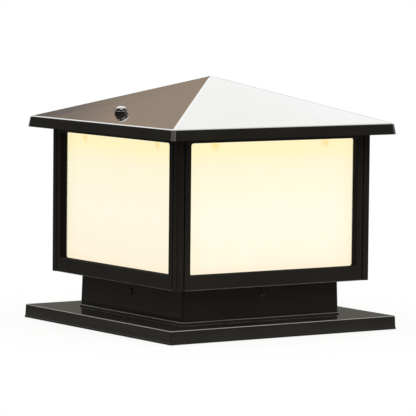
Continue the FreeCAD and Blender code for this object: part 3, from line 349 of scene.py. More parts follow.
lamp_data = bpy.data.lights.new("soft_lamp", "AREA")
lamp_data.shape = "DISK"
lamp_data.size = LAMP_SIZE
lamp_data.energy = LAMP_WATTS
soft_lamp = bpy.data.objects.new("soft_lamp", lamp_data)
soft_lamp.location = LAMP_PLACE
soft_lamp.rotation_mode = "QUATERNION"
soft_lamp.rotation_quaternion = (-Vector(LAMP_PLACE)).to_track_quat("-Z", "Y")
soft_lamp.visible_glossy = False
bpy.context.scene.collection.objects.link(soft_lamp)
print("one soft lamp of", lamp_data.energy, "W")

# %% [markdown]
# ## Black powder coat
#
# The body is sheet metal under a thin black coat. Such a coat isn't perfectly black or flat: it has
# a fine orange peel, dulls a little where it is handled, and gathers dust on level faces. A Bevel
# node finds sharp edges: where the rounded normal leaves the true one, the coat is worn. The outer
# bends get a painted highlight; they are found by the normal's height, because only a bend faces
# half up or half down. Painted shade darkens what lies behind the body's faces and the eave band's
# underside.

# %% Helpers that start and end a material
finishes = {}


def shade(colour, share):
    """The colour made darker or lighter by a share, and never over 1."""
    return [min(1.0, value * share) for value in colour]


def edge_share(recipe, width, strength):
    """Near 1 along the piece's edges and 0 on its faces."""
    rounded = recipe.node("ShaderNodeBevel", {"samples": 4}, Radius=width).outputs[0]
    true = recipe.node("ShaderNodeNewGeometry").outputs["Normal"]
    same = recipe.node("ShaderNodeVectorMath", {"operation": "DOT_PRODUCT"}, i0=rounded, i1=true)
    return recipe.times(recipe.minus(1.0, same.outputs["Value"]), strength, clamp=True)


def new_finish(name, **settings):
    """A material with its Principled shader, whose sockets take the settings."""
    material = bpy.data.materials.new(name)
    material.use_nodes = True
    recipe = Recipe(material.node_tree)
    shader = recipe.node("ShaderNodeBsdfPrincipled", None, **settings)
    recipe.node("ShaderNodeOutputMaterial", None, Surface=shader.outputs[0])
    finishes[name] = material
    return recipe, shader


def connect(recipe, shader, **sources):
    """Links patterns to the shader's sockets."""
    for name, source in sources.items():
        recipe.tree.links.new(source, shader.inputs[name.replace("_", " ")])


def bump(recipe, height, distance, strength=1.0, under=None):
    """A bumped normal from a height pattern; distance is its depth in metres."""
    inputs = {"Height": height, "Distance": distance, "Strength": strength}
    if under is not None:
        inputs["Normal"] = under
    return recipe.node("ShaderNodeBump", None, **inputs).outputs[0]


print("material helpers ready")

# %% Sizes that the black coat's marks follow
body_low, body_high = reach("face_frame_front")
BODY_HALF = -body_low.y
BODY_BOTTOM = body_low.z
base_high = reach("base_plate")[1]
BASE_TOP = base_high.z
roof_low, roof_high = reach("roof_skin")
EAVE_TOP = roof_low.z
EAVE_HALF = roof_high.x
band_low, band_high = reach("eave_band")
EAVE_BOTTOM = band_low.z
EAVE_FOOT_HALF = band_high.x
FOOT_RISE = 1.8  # how far the neck's foot stands over the base's top
print("half widths", [round(size, 2) for size in (BODY_HALF, EAVE_HALF, EAVE_FOOT_HALF)])
print("heights", [round(size, 2) for size in (BASE_TOP, BODY_BOTTOM, EAVE_BOTTOM, EAVE_TOP)])

# %% Marks that a black coat carries
# the strongest share of the painted highlight on a bend
BRIGHTEST_BEND_HIGHLIGHT = 0.9
BLUR = 0.1  # millimetres over which a mark at a height begins
# Lightness beside the eave band's corners, by the distance from the corner in centimetres.
CORNER_LINES = (
    (0.0, 0.2), (0.04, 0.2), (0.055, 0.7), (0.10, 0.7),
    (0.125, 0.08), (0.17, 0.1), (0.21, 0.6), (0.34, 0.55), (0.38, 0.0),
)


def painted_bend_highlight(recipe, heights):
    """The share of a coat given a painted highlight: the bends between each pair of heights in millimetres.
    """
    tilt = recipe.unsigned(recipe.facing_up())
    bend = recipe.ramp(tilt, (0.2, 0.0), (0.4, 1.0), (0.85, 1.0), (0.97, 0.0))
    height = recipe.axes()[2]
    band = 0.0
    for low, high in heights:
        over = recipe.rising(height, low * MM, (low + BLUR) * MM)
        under = recipe.rising(height, (high + BLUR) * MM, high * MM)
        band = recipe.plus(band, recipe.times(over, under))
    patchy = recipe.ramp(recipe.grain(55, 4), (0.3, 0.8 * BRIGHTEST_BEND_HIGHLIGHT), (0.65, BRIGHTEST_BEND_HIGHLIGHT))
    return recipe.times(recipe.times(bend, band), patchy)


def eave_corner_streaks(recipe):
    """Light and dark lines beside the eave band's corners."""
    spot = recipe.axes()
    near = recipe.maths("MINIMUM", recipe.unsigned(spot[0]), recipe.unsigned(spot[1]))
    lean = (EAVE_FOOT_HALF - EAVE_HALF) / (EAVE_TOP - EAVE_BOTTOM)
    below_top = recipe.minus(EAVE_TOP * MM, spot[2])
    face = recipe.plus(recipe.times(below_top, lean), EAVE_HALF * MM)
    inset = recipe.times(recipe.minus(face, near), 100.0)
    lines = recipe.ramp(inset, *CORNER_LINES)
    streak = recipe.ramp(recipe.grain(420, 2, (1, 1, 0.02)), (0.35, 0.55), (0.6, 1.0))
    over_foot = recipe.rising(spot[2], (EAVE_BOTTOM + 1) * MM, (EAVE_BOTTOM + 3) * MM)
    foot = recipe.minus(1.0, recipe.times(over_foot, 0.25))
    return recipe.times(recipe.times(lines, streak), foot)


print("marks ready; the corners have", len(CORNER_LINES), "stops of light and dark")

# %% Make the black coats
COAT = (0.0205, 0.0185, 0.0150)
FRAME_COAT = (0.0190, 0.0168, 0.0138)
# painted highlight colours for the bends of the body and of the base
BODY_BEND_HIGHLIGHT = (0.27, 0.265, 0.25)
BASE_BEND_HIGHLIGHT = (0.45, 0.44, 0.42)
DUST = (0.075, 0.072, 0.062)
WORN_EDGE = (0.06, 0.06, 0.055)
# painted shade, near black, for what lies behind the body's faces
RECESS_SHADE_BLACK = (0.001, 0.0009, 0.0007)
# painted shade for the eave band's underside
UNDERSIDE_SHADE = (0.006, 0.005, 0.004)
CORNER_STREAK_GREY = (0.45, 0.45, 0.44)


def black_coat(name, base, bends=(), bend_highlight=BODY_BEND_HIGHLIGHT, recess_shade=False, corners=False,
               worn=1.0, dusty=0.35):
    """Black powder coat with orange peel, handling marks, dust, worn edges and a painted highlight on bends.

    The bends, given as (low, high) heights in millimetres, get a painted highlight of the given colour.
    The recess option paints shade, near black, on what lies behind the body's faces. The corners
    option adds light and dark lines beside the eave band's corners, and painted shade on the band's
    underside, which is also made matt.
    """
    recipe, shader = new_finish(name, Specular_IOR_Level=0.16, IOR=1.5)
    cloud = recipe.grain(14, 3)
    fleck = recipe.grain(900, 2)
    coat = recipe.ramp(cloud, (0.3, shade(base, 0.82)), (0.7, shade(base, 1.2)))
    level = recipe.times(recipe.facing_up(), dusty, clamp=True)
    dust = recipe.times(level, recipe.grain(120, 5))
    coat = recipe.blend(dust, coat, DUST)
    handled = recipe.ramp(recipe.grain(60, 4), (0.35, 0.2 * worn), (0.65, worn))
    coat = recipe.blend(recipe.times(edge_share(recipe, 0.5 * MM, 1.4), handled), coat, WORN_EDGE)
    # a painted highlight along the outer bends
    if bends:
        coat = recipe.blend(painted_bend_highlight(recipe, bends), coat, bend_highlight)
    gloss = recipe.plus(recipe.times(cloud, 0.13), recipe.times(dust, 0.25))
    gloss = recipe.plus(gloss, recipe.times(fleck, 0.05))
    # painted shade, near black, on what lies behind the body's faces, kept off the fold at the foot; it is
    # also made matt
    if recess_shade:
        spot = recipe.axes()
        outer = recipe.maths("MAXIMUM", recipe.unsigned(spot[0]), recipe.unsigned(spot[1]))
        depth = recipe.minus(BODY_HALF * MM, outer)
        inside = recipe.times(recipe.rising(depth, 0.02 * MM, 0.5 * MM), 0.93)
        over_fold = recipe.rising(spot[2], (BODY_BOTTOM + 4) * MM, (BODY_BOTTOM + 5) * MM)
        inside = recipe.times(inside, over_fold)
        coat = recipe.blend(inside, coat, RECESS_SHADE_BLACK)
        gloss = recipe.plus(gloss, recipe.times(inside, 0.85), clamp=True)
    if corners:
        coat = recipe.blend(eave_corner_streaks(recipe), coat, CORNER_STREAK_GREY)
        # painted shade on the band's downward faces, which are also made matt
        under = recipe.rising(recipe.facing_up(), -0.1, -0.5)
        gloss = recipe.plus(gloss, recipe.times(under, 0.8), clamp=True)
        coat = recipe.blend(under, coat, UNDERSIDE_SHADE)
    connect(recipe, shader, Base_Color=coat, Roughness=gloss, Normal=bump(recipe, fleck, 0.012 * MM, 0.35))


# The heights, low and high, between which a bend gets a painted highlight.
BODY_BENDS = [(BODY_BOTTOM - 0.2, BODY_BOTTOM + 1.6)]
BASE_BENDS = [(BASE_TOP - 1.4, BASE_TOP + 0.2), (BASE_TOP + FOOT_RISE - 0.9, BASE_TOP + FOOT_RISE + 0.2)]
black_coat("black_paint", FRAME_COAT, bends=BODY_BENDS, recess_shade=True, worn=0.8)
black_coat("base_paint", COAT, bends=BASE_BENDS, bend_highlight=BASE_BEND_HIGHLIGHT, dusty=0.14)
black_coat("eave_paint", COAT, corners=True, worn=0.15)
print("black coats:", ", ".join(finishes))

# %% [markdown]
# ## Polished and plated metal
#
# The roof sheet is polished until it mirrors the room, so its colour is that of the metal and
# nearly everything shows through roughness: faint smears and a broad waviness left by the folding
# press. The nuts are chromed, with a painted dark reflection on their upright flats. Galvanised
# sheet inside has its large crystals, made with Voronoi cells, and zinc-plated screws have a fine
# brushed look.

# %% Make the metals
# a painted dark reflection for a nut's upright flats
FLAT_DARK_REFLECTION = (0.03, 0.03, 0.028)


def mirror_metal(name, colour, dull, wave, dark_flat_reflection=False):
    """Bright metal with smears, fine scratches and a broad waviness; a painted dark reflection can cover
    upright sides.
    """
    recipe, shader = new_finish(name, Metallic=1.0)
    smear = recipe.grain(22, 4, (1, 1, 1), 0.6)
    scratch = recipe.grain(700, 2, (0.05, 1, 1))
    tone = recipe.ramp(smear, (0.3, shade(colour, 0.975)), (0.7, colour))
    if dark_flat_reflection:
        # a painted dark reflection on the upright flats
        upright = recipe.ramp(recipe.unsigned(recipe.facing_up()), (0.38, 0.95), (0.6, 0.0))
        tone = recipe.blend(upright, tone, FLAT_DARK_REFLECTION)
    smeared = recipe.times(recipe.ramp(smear, (0.45, 0.4), (0.75, 1.0)), dull)
    rough = recipe.plus(smeared, recipe.times(scratch, dull * 0.4))
    heave = bump(recipe, recipe.grain(9, 2), wave)
    connect(recipe, shader, Base_Color=tone, Roughness=rough,
            Normal=bump(recipe, scratch, 0.0006 * MM, 0.2, heave))


def crystal_metal(name, colour, scale):
    """Galvanised sheet: Voronoi crystals of slightly different grey and gloss."""
    recipe, shader = new_finish(name, Metallic=1.0)
    inputs = {"Vector": recipe.place(), "Scale": scale}
    cells = recipe.node("ShaderNodeTexVoronoi", {"feature": "F1"}, **inputs)
    grey = recipe.node("ShaderNodeSeparateColor", None, Color=cells.outputs["Color"]).outputs[0]
    tone = recipe.ramp(grey, (0.0, shade(colour, 0.8)), (1.0, shade(colour, 1.12)))
    rough = recipe.plus(recipe.times(grey, 0.2), 0.28)
    connect(recipe, shader, Base_Color=tone, Roughness=rough,
            Normal=bump(recipe, recipe.grain(500, 3), 0.02 * MM, 0.3))


def plated_steel(name, colour, rough_low, rough_high, metal=1.0):
    """Plated or bare metal with turning marks, tarnish and bright edges."""
    recipe, shader = new_finish(name, Metallic=metal)
    marks = recipe.grain(260, 3, (1, 1, 9))
    tarnish = recipe.grain(70, 4)
    tone = recipe.ramp(tarnish, (0.3, shade(colour, 0.72)), (0.65, colour))
    bright = recipe.blend(edge_share(recipe, 0.3 * MM, 2.5), tone, shade(colour, 1.35))
    rough = recipe.ramp(marks, (0.35, rough_low), (0.65, rough_high))
    connect(recipe, shader, Base_Color=bright, Roughness=rough, Normal=bump(recipe, marks, 0.01 * MM, 0.3))


mirror_metal("polished_roof", (0.92, 0.92, 0.915), dull=0.05, wave=0.1 * MM)
mirror_metal("bright_nut", (0.93, 0.93, 0.93), dull=0.05, wave=0.01 * MM, dark_flat_reflection=True)
crystal_metal("galvanised", (0.55, 0.56, 0.57), 90)
plated_steel("zinc_steel", (0.66, 0.67, 0.68), 0.2, 0.4)
plated_steel("black_screw", (0.058, 0.056, 0.052), 0.25, 0.42, metal=0.7)
plated_steel("brass", (0.78, 0.58, 0.28), 0.16, 0.34)
print("metals:", len(finishes))

# %% [markdown]
# ## Lit opal panels
#
# An opal sheet spreads the lamp's light over its whole face. It is whitest in the middle and lower
# down, where the lamp shines straight at it, and yellower towards the top and the frame, where the
# light has gone through more of the sheet. The clips behind each panel's top leave two faint warm
# shadows. One recipe serves all four panels: on each of them the smaller of |X| and |Y| is the
# distance from the panel's middle line.

# %% Make the opal sheet
WINDOW_HALF = 111.6 * MM
WINDOW_LOW = 71.0 * MM
WINDOW_HIGH = 215.0 * MM
CLIP_OFFSET = 74.5 * MM
CLIP_FOOT = 211.0 * MM
CLIP_SHADOW = (0.90, 0.67, 0.22)
PANEL_EDGE = (0.88, 0.80, 0.48)
# The panel's light by height, from the window's foot to its top.
PANEL_LIGHT = (
    (0.0, (0.89, 0.785, 0.60)),
    (0.08, (0.90, 0.805, 0.645)),
    (0.45, (0.905, 0.84, 0.68)),
    (0.75, (0.915, 0.85, 0.635)),
    (0.97, (0.96, 0.865, 0.515)),
    (1.0, (0.97, 0.88, 0.57)),
)


def opal_sheet():
    """Warm white light that yellows towards the top and the edges, on a glossy acrylic face."""
    recipe, shader = new_finish("opal_sheet", Roughness=0.22, Specular_IOR_Level=0.3, Emission_Strength=1.0)
    spot = recipe.axes()
    sideways = recipe.maths("MINIMUM", recipe.unsigned(spot[0]), recipe.unsigned(spot[1]))
    height = recipe.maths("DIVIDE", recipe.minus(spot[2], WINDOW_LOW), WINDOW_HIGH - WINDOW_LOW)
    warm = recipe.ramp(height, *PANEL_LIGHT, ease="EASE")
    outwards = recipe.maths("DIVIDE", sideways, WINDOW_HALF)
    edge = recipe.ramp(outwards, (0.78, 0.0), (0.985, 0.22), (1.0, 0.6), ease="EASE")
    warm = recipe.blend(edge, warm, PANEL_EDGE)
    spread = recipe.across(recipe.minus(sideways, CLIP_OFFSET), recipe.minus(CLIP_FOOT, spot[2]))
    shadow = recipe.times(recipe.rising(spread, 7.0 * MM, 1.5 * MM), 0.65)
    warm = recipe.blend(shadow, warm, CLIP_SHADOW)
    cloud = recipe.grain(35, 3)
    milky = recipe.ramp(cloud, (0.3, (0.25, 0.24, 0.20)), (0.7, (0.28, 0.27, 0.23)))
    connect(recipe, shader, Base_Color=milky, Emission_Color=warm,
            Roughness=recipe.ramp(recipe.grain(300, 2), (0.3, 0.18), (0.7, 0.28)),
            Normal=bump(recipe, recipe.grain(60, 2), 0.02 * MM, 0.3))


opal_sheet()
print("opal sheet between heights", round(WINDOW_LOW, 3), "and", round(WINDOW_HIGH, 3))

# %% [markdown]
# ## Rubber, plastic and ceramic
#
# These few pieces work behind the panels or below the floor. Rubber and silicone are matt with a
# fine texture, moulded plastic has a light sheen and faint flow clouds, and the lamp holder's glaze
# is smooth over a slightly uneven ceramic.

# %% Make the soft and moulded finishes
def moulded(name, low, high, rough, texture, depth, **settings):
    """A moulded piece: two close shades in clouds, a fine surface texture and slightly worn edges."""
    recipe, shader = new_finish(name, **settings)
    cloud = recipe.grain(45, 4)
    fine = recipe.grain(texture, 3)
    tone = recipe.ramp(cloud, (0.3, low), (0.7, high))
    pale = [min(1.0, value * 1.3 + 0.01) for value in high]
    tone = recipe.blend(edge_share(recipe, 0.4 * MM, 1.2), tone, pale)
    gloss = recipe.ramp(fine, (0.3, rough * 0.8), (0.7, min(1.0, rough * 1.2)))
    connect(recipe, shader, Base_Color=tone, Roughness=gloss, Normal=bump(recipe, fine, depth, 0.4))
    return recipe, shader


moulded("rubber", (0.018, 0.018, 0.018), (0.032, 0.031, 0.03), 0.75, 800, 0.05 * MM)
moulded("silicone", (0.5, 0.5, 0.48), (0.6, 0.6, 0.58), 0.5, 500, 0.03 * MM)
moulded("white_ceramic", (0.72, 0.70, 0.64), (0.8, 0.78, 0.73), 0.2, 120, 0.05 * MM,
        Coat_Weight=0.6, Coat_Roughness=0.08)
moulded("lamp_white", (0.78, 0.78, 0.77), (0.85, 0.85, 0.84), 0.34, 400, 0.01 * MM)
moulded("gland_plastic", (0.022, 0.022, 0.025), (0.034, 0.034, 0.038), 0.5, 600, 0.02 * MM)
moulded("wire_brown", (0.14, 0.06, 0.03), (0.2, 0.09, 0.045), 0.4, 500, 0.01 * MM)
globe_low, globe_high = reach("lamp_globe")
glow, glow_shader = moulded("lamp_diffuser", (0.8, 0.78, 0.7), (0.88, 0.86, 0.8), 0.45, 400, 0.01 * MM,
                            Emission_Strength=1.0)
connect(glow, glow_shader, Emission_Color=glow.ramp(
    glow.axes()[2],
    (globe_low.z * MM, (0.75, 0.62, 0.4)),
    ((globe_low.z + 20) * MM, (1.0, 0.88, 0.62)),
    (globe_high.z * MM, (1.0, 0.92, 0.7)),
))


def earth_sleeve():
    """Green insulation with its yellow stripe along the top."""
    recipe, shader = moulded("wire_earth", (0.05, 0.22, 0.04), (0.07, 0.28, 0.05), 0.4, 500, 0.01 * MM)
    stripe = recipe.ramp(recipe.facing_up(), (0.35, 0.0), (0.4, 1.0))
    green = recipe.ramp(recipe.grain(45, 4), (0.3, (0.05, 0.22, 0.04)), (0.7, (0.07, 0.28, 0.05)))
    connect(recipe, shader, Base_Color=recipe.blend(stripe, green, (0.72, 0.55, 0.05)))


earth_sleeve()
print(len(finishes), "finishes in all")

# %% [markdown]
# ## Every CAD node takes its finish
#
# The record says which material slot each node has. Here each CAD node gets that slot's recipe;
# pieces made further down replace some of the nodes and take the same slot's recipe, unless another
# black coat is given.

# %% Dress the CAD nodes
slot_of = {part["node"]: part["material_slot"] for part in frame["record"]["subparts"]}
body_of = {node: body for body, members in frame["record"]["behaviour"]["bodies"].items() for node in members}
for name, obj in nodes.items():
    finish = finishes[slot_of[name]]
    if obj.material_slots:
        for material_slot in obj.material_slots:
            material_slot.material = finish
    else:
        obj.data.materials.append(finish)
print("dressed", len(nodes), "nodes in", len(set(slot_of.values())), "slots")

# %% [markdown]
# ## How a new piece is finished
#
# Each new piece is a closed mesh that already stands in its place. Flat faces stay flat while the
# narrow roundings between them shade smoothly: that is what Weighted Normals do. The piece then
# rides on its CAD body and stands in for the node that it replaces.

# %% A helper that finishes a piece
SMOOTH_ANGLE = math.radians(35)


def finished(mesh_builder, name, replaced, finish=None):
    """Makes the object from a bmesh, shades it, gives it its slot's finish and rides it on its body."""
    bmesh.ops.recalc_face_normals(mesh_builder, faces=mesh_builder.faces)
    for face in mesh_builder.faces:
        face.smooth = True
    for edge in mesh_builder.edges:
        edge.smooth = len(edge.link_faces) == 2 and edge.calc_face_angle(0) < SMOOTH_ANGLE
    mesh = bpy.data.meshes.new(name)
    mesh_builder.to_mesh(mesh)
    mesh_builder.free()
    obj = bpy.data.objects.new(name, mesh)
    bpy.context.scene.collection.objects.link(obj)
    mesh.materials.append(finish or finishes[slot_of[replaced]])
    normals = obj.modifiers.new("flat_faces", "WEIGHTED_NORMAL")
    normals.keep_sharp = True
    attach(obj, body_of[replaced])
    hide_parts(replaced)
    return obj


print("pieces smooth over", round(math.degrees(SMOOTH_ANGLE)), "degrees")

# %% [markdown]
# ## Folded and rolled square pieces
#
# The base, the neck, the eave band and the roof follow one rule: an outline in section, carried
# round a square with rounded corners. Where sheet metal is folded, the fold has a radius, and that
# radius is what catches the light. So the section is written as points, each with its own bend
# radius, and the helper carries the bent section round the square.

# %% Helpers for a section and its way round the square
BEND_STEPS = 4
CORNER_STEPS = 6
LEAST_CORNER = 0.3


def bent(section, closed=True):
    """A section's points (out, up, bend radius) with each corner replaced by an arc of that radius."""
    count = len(section)
    outline = []
    for index, (out, up, radius) in enumerate(section):
        here = Vector((out, up))
        if radius == 0 or (not closed and index in (0, count - 1)):
            outline.append(here)
            continue
        before = Vector(section[index - 1][:2]) - here
        after = Vector(section[(index + 1) % count][:2]) - here
        half_turn = before.angle(after) / 2
        run = min(radius / math.tan(half_turn), 0.48 * before.length, 0.48 * after.length)
        radius = run * math.tan(half_turn)
        before.normalize()
        after.normalize()
        middle = here + (before + after).normalized() * (radius / math.sin(half_turn))
        start = here + before * run - middle
        sweep = start.angle_signed(here + after * run - middle)
        for step in range(BEND_STEPS + 1):
            turned = start.copy()
            turned.rotate(Matrix.Rotation(-sweep * step / BEND_STEPS, 2))
            outline.append(middle + turned)
    return outline


def square_ring(half, up, corner):
    """Points of a rounded square at one height, in metres, from sizes in millimetres."""
    points = []
    for quarter in range(4):
        middle = Matrix.Rotation(math.radians(90 * quarter), 2) @ Vector((half - corner, corner - half))
        for step in range(CORNER_STEPS + 1):
            angle = math.radians(90 * (quarter - 1 + step / CORNER_STEPS))
            x, y = middle.x + corner * math.cos(angle), middle.y + corner * math.sin(angle)
            points.append(Vector((x, y, up)) * MM)
    return points


def carried_round(section, corner_at, closed=True):
    """A bmesh of the section carried round the square; corner_at(out) gives the corner's radius."""
    mesh_builder = bmesh.new()
    rings = []
    for out, up in bent(section, closed):
        corner = min(max(corner_at(out), LEAST_CORNER), out * 0.98)
        rings.append([mesh_builder.verts.new(point) for point in square_ring(out, up, corner)])
    pairs = list(zip(rings, rings[1:])) + ([(rings[-1], rings[0])] if closed else [])
    around = len(rings[0])
    for lower, upper in pairs:
        for index in range(around):
            following = (index + 1) % around
            mesh_builder.faces.new((lower[index], lower[following], upper[following], upper[index]))
    if not closed:
        mesh_builder.faces.new(rings[0][::-1])
        mesh_builder.faces.new(rings[-1])
    return mesh_builder


def nested_corner(outer_half, outer_corner):
    """The corner rule of nested folds: the radius shrinks as the section goes inwards."""
    return lambda out: outer_corner - (outer_half - out)


print("a corner has", CORNER_STEPS, "steps")

# %% [markdown]
# ## Cutting holes and recesses
#
# Bolt holes, stud holes and the cross in a screw's head are cut with Boolean modifiers. The exact
# solver handles closed meshes well, and each result is made a plain mesh at once, so that nothing
# is left live.

# %% Helpers that cut
def placed(mesh_builder, name):
    """An object in the scene made from a bmesh, which is used up."""
    bmesh.ops.recalc_face_normals(mesh_builder, faces=mesh_builder.faces)
    mesh = bpy.data.meshes.new(name)
    mesh_builder.to_mesh(mesh)
    mesh_builder.free()
    obj = bpy.data.objects.new(name, mesh)
    bpy.context.scene.collection.objects.link(obj)
    return obj


def taken_back(obj, *helpers):
    """The evaluated object as a new bmesh; the object and its helpers leave the scene."""
    result = bpy.data.meshes.new_from_object(obj.evaluated_get(bpy.context.evaluated_depsgraph_get()))
    mesh_builder = bmesh.new()
    mesh_builder.from_mesh(result)
    for used in (obj, *helpers):
        bpy.data.objects.remove(used)
    bpy.data.meshes.remove(result)
    return mesh_builder


def cut(mesh_builder, tool_builder):
    """The first bmesh with the second one taken out of it."""
    body = placed(mesh_builder, "cut_body")
    tool = placed(tool_builder, "cut_tool")
    step = body.modifiers.new("cut", "BOOLEAN")
    step.operation = "DIFFERENCE"
    step.solver = "EXACT"
    step.object = tool
    return taken_back(body, tool)


def drilled(mesh_builder, holes, sides=32):
    """The same mesh with upright round holes; each hole is (x, y, low, high, diameter) in millimetres."""
    drill = bmesh.new()
    for x, y, low, high, diameter in holes:
        bmesh.ops.create_cone(
            drill, cap_ends=True, segments=sides, radius1=diameter / 2 * MM, radius2=diameter / 2 * MM,
            depth=(high - low) * MM, matrix=Matrix.Translation(Vector((x, y, (low + high) / 2)) * MM),
        )
    return cut(mesh_builder, drill)


print("holes have 32 sides")

# %% [markdown]
# ## The roof sheet
#
# Four slopes meet in folded hips, and the sheet's edge is folded down more steeply, which gives the
# bright line along the eave. The hips keep the same small bend for most of their length and tighten
# at the rim, where the corner was dressed. The two stud holes are drilled through.

# %% Make the roof sheet
APEX = roof_high.z
APEX_HALF = 1.2
RIM_RUN = 1.9
RIM_RISE = 1.25
ROOF_SHEET = 1.5
STUD_X = reach("roof_studs")[1].x - 4.0
STUD_HOLE = 9.2
HIP_BEND = 2.2
RIM_CORNER = 2.0
RIM_BLEND = 17.0  # how far up the slope a hip's bend begins to tighten
DRILL_LOW = 225  # the stud holes' drill reaches from here to above the sheet
DRILL_HIGH = 260

slope = (APEX - EAVE_TOP - RIM_RISE) / (EAVE_HALF - RIM_RUN - APEX_HALF)
sheet_down = ROOF_SHEET * math.sqrt(1 + slope ** 2)


def roof_height(out):
    """The height of the roof sheet's top at a distance from the middle, in millimetres."""
    return APEX - slope * (out - APEX_HALF)


def hip_bend(out):
    """The hip's bend radius: small at the peak, even along the slope, tight at the rim."""
    from_rim = (EAVE_HALF - RIM_RUN - out) / RIM_BLEND
    near_rim = RIM_CORNER + (HIP_BEND - RIM_CORNER) * min(1.0, max(0.0, from_rim))
    return min(near_rim, out * 0.5)


slope_stops = (9.0, 60.0, 130.0)
roof_section = [(0.4, APEX, 0), (APEX_HALF, APEX, 0.5)]
roof_section += [(out, roof_height(out), 0) for out in slope_stops]
roof_section += [
    (EAVE_HALF - RIM_RUN, EAVE_TOP + RIM_RISE, 1.0),
    (EAVE_HALF, EAVE_TOP, 0.3),
    (EAVE_HALF - 2.0, EAVE_TOP, 0.2),
    (EAVE_HALF - RIM_RUN - 0.6, EAVE_TOP + RIM_RISE - sheet_down + 0.9, 0),
]
roof_section += [(out, roof_height(out) - sheet_down, 0) for out in reversed(slope_stops)]
roof_section += [(APEX_HALF, APEX - sheet_down, 0.5), (0.4, APEX - sheet_down, 0)]
roof_builder = carried_round(roof_section, hip_bend)
roof_builder = drilled(roof_builder, [(x, 0, DRILL_LOW, DRILL_HIGH, STUD_HOLE) for x in (-STUD_X, STUD_X)])
roof_sheet = finished(roof_builder, "roof_sheet", "roof_skin")
print("roof slope", round(slope, 4), "with", len(roof_sheet.data.polygons), "faces")

# %% [markdown]
# ## The eave band
#
# A black band leans outwards below the roof. It is folded from one sheet: a ledge over the lantern,
# the leaning face, and a flange turned in at the foot. Its corners carry light and dark grey lines
# on either side.

# %% Make the eave band
EAVE_SHEET = 1.5
LEDGE_IN = BODY_HALF - 16.0
MOUTH = BODY_HALF + 11.0
EAVE_CORNER = 2.4
BAND_DRILL_LOW = 226
BAND_DRILL_HIGH = 234
band_section = [
    (LEDGE_IN, EAVE_TOP - EAVE_SHEET, 0.3),
    (EAVE_HALF - EAVE_SHEET, EAVE_TOP - EAVE_SHEET, 0.6),
    (EAVE_FOOT_HALF - EAVE_SHEET, EAVE_BOTTOM + EAVE_SHEET, 0.6),
    (MOUTH, EAVE_BOTTOM + EAVE_SHEET, 0.5),
    (MOUTH, EAVE_BOTTOM, 0.5),
    (EAVE_FOOT_HALF, EAVE_BOTTOM, 0.8),
    (EAVE_HALF, EAVE_TOP, 0.3),
    (LEDGE_IN, EAVE_TOP, 0.3),
]


def band_corner(out):
    """The band's outer corner stays even from top to foot, and the fold inside it is tighter."""
    return EAVE_CORNER if out > EAVE_HALF - 0.4 else max(LEAST_CORNER, EAVE_CORNER - EAVE_SHEET)


band_builder = carried_round(band_section, band_corner)
band_holes = [(x, 0, BAND_DRILL_LOW, BAND_DRILL_HIGH, STUD_HOLE) for x in (-STUD_X, STUD_X)]
band_builder = drilled(band_builder, band_holes)
eave_fascia = finished(band_builder, "eave_fascia", "eave_band", finishes["eave_paint"])
print("eave band", len(eave_fascia.data.polygons), "faces")

# %% [markdown]
# ## The base pan
#
# The base is a shallow pan pressed from sheet. Its skirt leans out, and ends in a folded hem that
# stands a little proud: it shows as a thin light line just above the ground. Inside the neck there
# are the wiring hole, the post bolts' holes and the foot bolts' holes.

# %% Make the base pan
BASE_FOOT_HALF = base_high.x
BASE_HALF = BASE_FOOT_HALF - 0.9
BASE_SHEET = 1.5
BASE_CORNER = 1.2
HEM_HEIGHT = 2.1
HEM_PROUD = 0.45
WIRING_RADIUS = 60.0
POST_HOLE = 9.0
BOLT_HEAD = 9.0
BOLT_HOLE = 5.5
BASE_DRILL_LOW = 5  # the drill passes the base's sheet from this height to the next
SHEET_DRILL_HIGH = 25
bolts_low, bolts_high = reach("neck_foot_bolts")
foot_bolt_x = (bolts_high.x - bolts_low.x - BOLT_HEAD) / 2
rail_low, rail_high = reach("base_rail_right")
post_bolt_offset = (rail_low.x + rail_high.x) / 2

base_section = [
    (WIRING_RADIUS, BASE_TOP - BASE_SHEET, 0.2),
    (BASE_HALF - BASE_SHEET, BASE_TOP - BASE_SHEET, 0.6),
    (BASE_FOOT_HALF - HEM_PROUD - BASE_SHEET, HEM_HEIGHT, 0),
    (BASE_FOOT_HALF - BASE_SHEET, 0, 0.3),
    (BASE_FOOT_HALF, 0, 0.3),
    (BASE_FOOT_HALF - 0.05, HEM_HEIGHT, 0.3),
    (BASE_FOOT_HALF - HEM_PROUD, HEM_HEIGHT + 0.3, 0.15),
    (BASE_HALF, BASE_TOP, 1.1),
    (WIRING_RADIUS, BASE_TOP, 0.2),
]


def base_corner(out):
    """A tight outer corner, and a round wiring hole in the middle."""
    return WIRING_RADIUS if out < WIRING_RADIUS + 0.5 else BASE_CORNER


foot_bolt_places = [(foot_bolt_x, 0), (0, foot_bolt_x), (-foot_bolt_x, 0), (0, -foot_bolt_x)]
base_builder = carried_round(base_section, base_corner)
base_holes = [
    (sx * post_bolt_offset, sy * post_bolt_offset, BASE_DRILL_LOW, SHEET_DRILL_HIGH, POST_HOLE)
    for sx in (-1, 1) for sy in (-1, 1)
]
base_holes += [(x, y, BASE_DRILL_LOW, SHEET_DRILL_HIGH, BOLT_HOLE) for x, y in foot_bolt_places]
base_pan = finished(drilled(base_builder, base_holes), "base_pan", "base_plate", finishes["base_paint"])
print("base pan", len(base_pan.data.polygons), "faces, foot bolts at", round(foot_bolt_x, 2))

# %% [markdown]
# ## The neck
#
# A slightly tapered box stands on a thick foot that is welded round it. The foot's top edge is
# rounded and catches a line of light, made brighter by a painted highlight in the base coat. A
# flange turned in at the bottom takes the foot bolts.

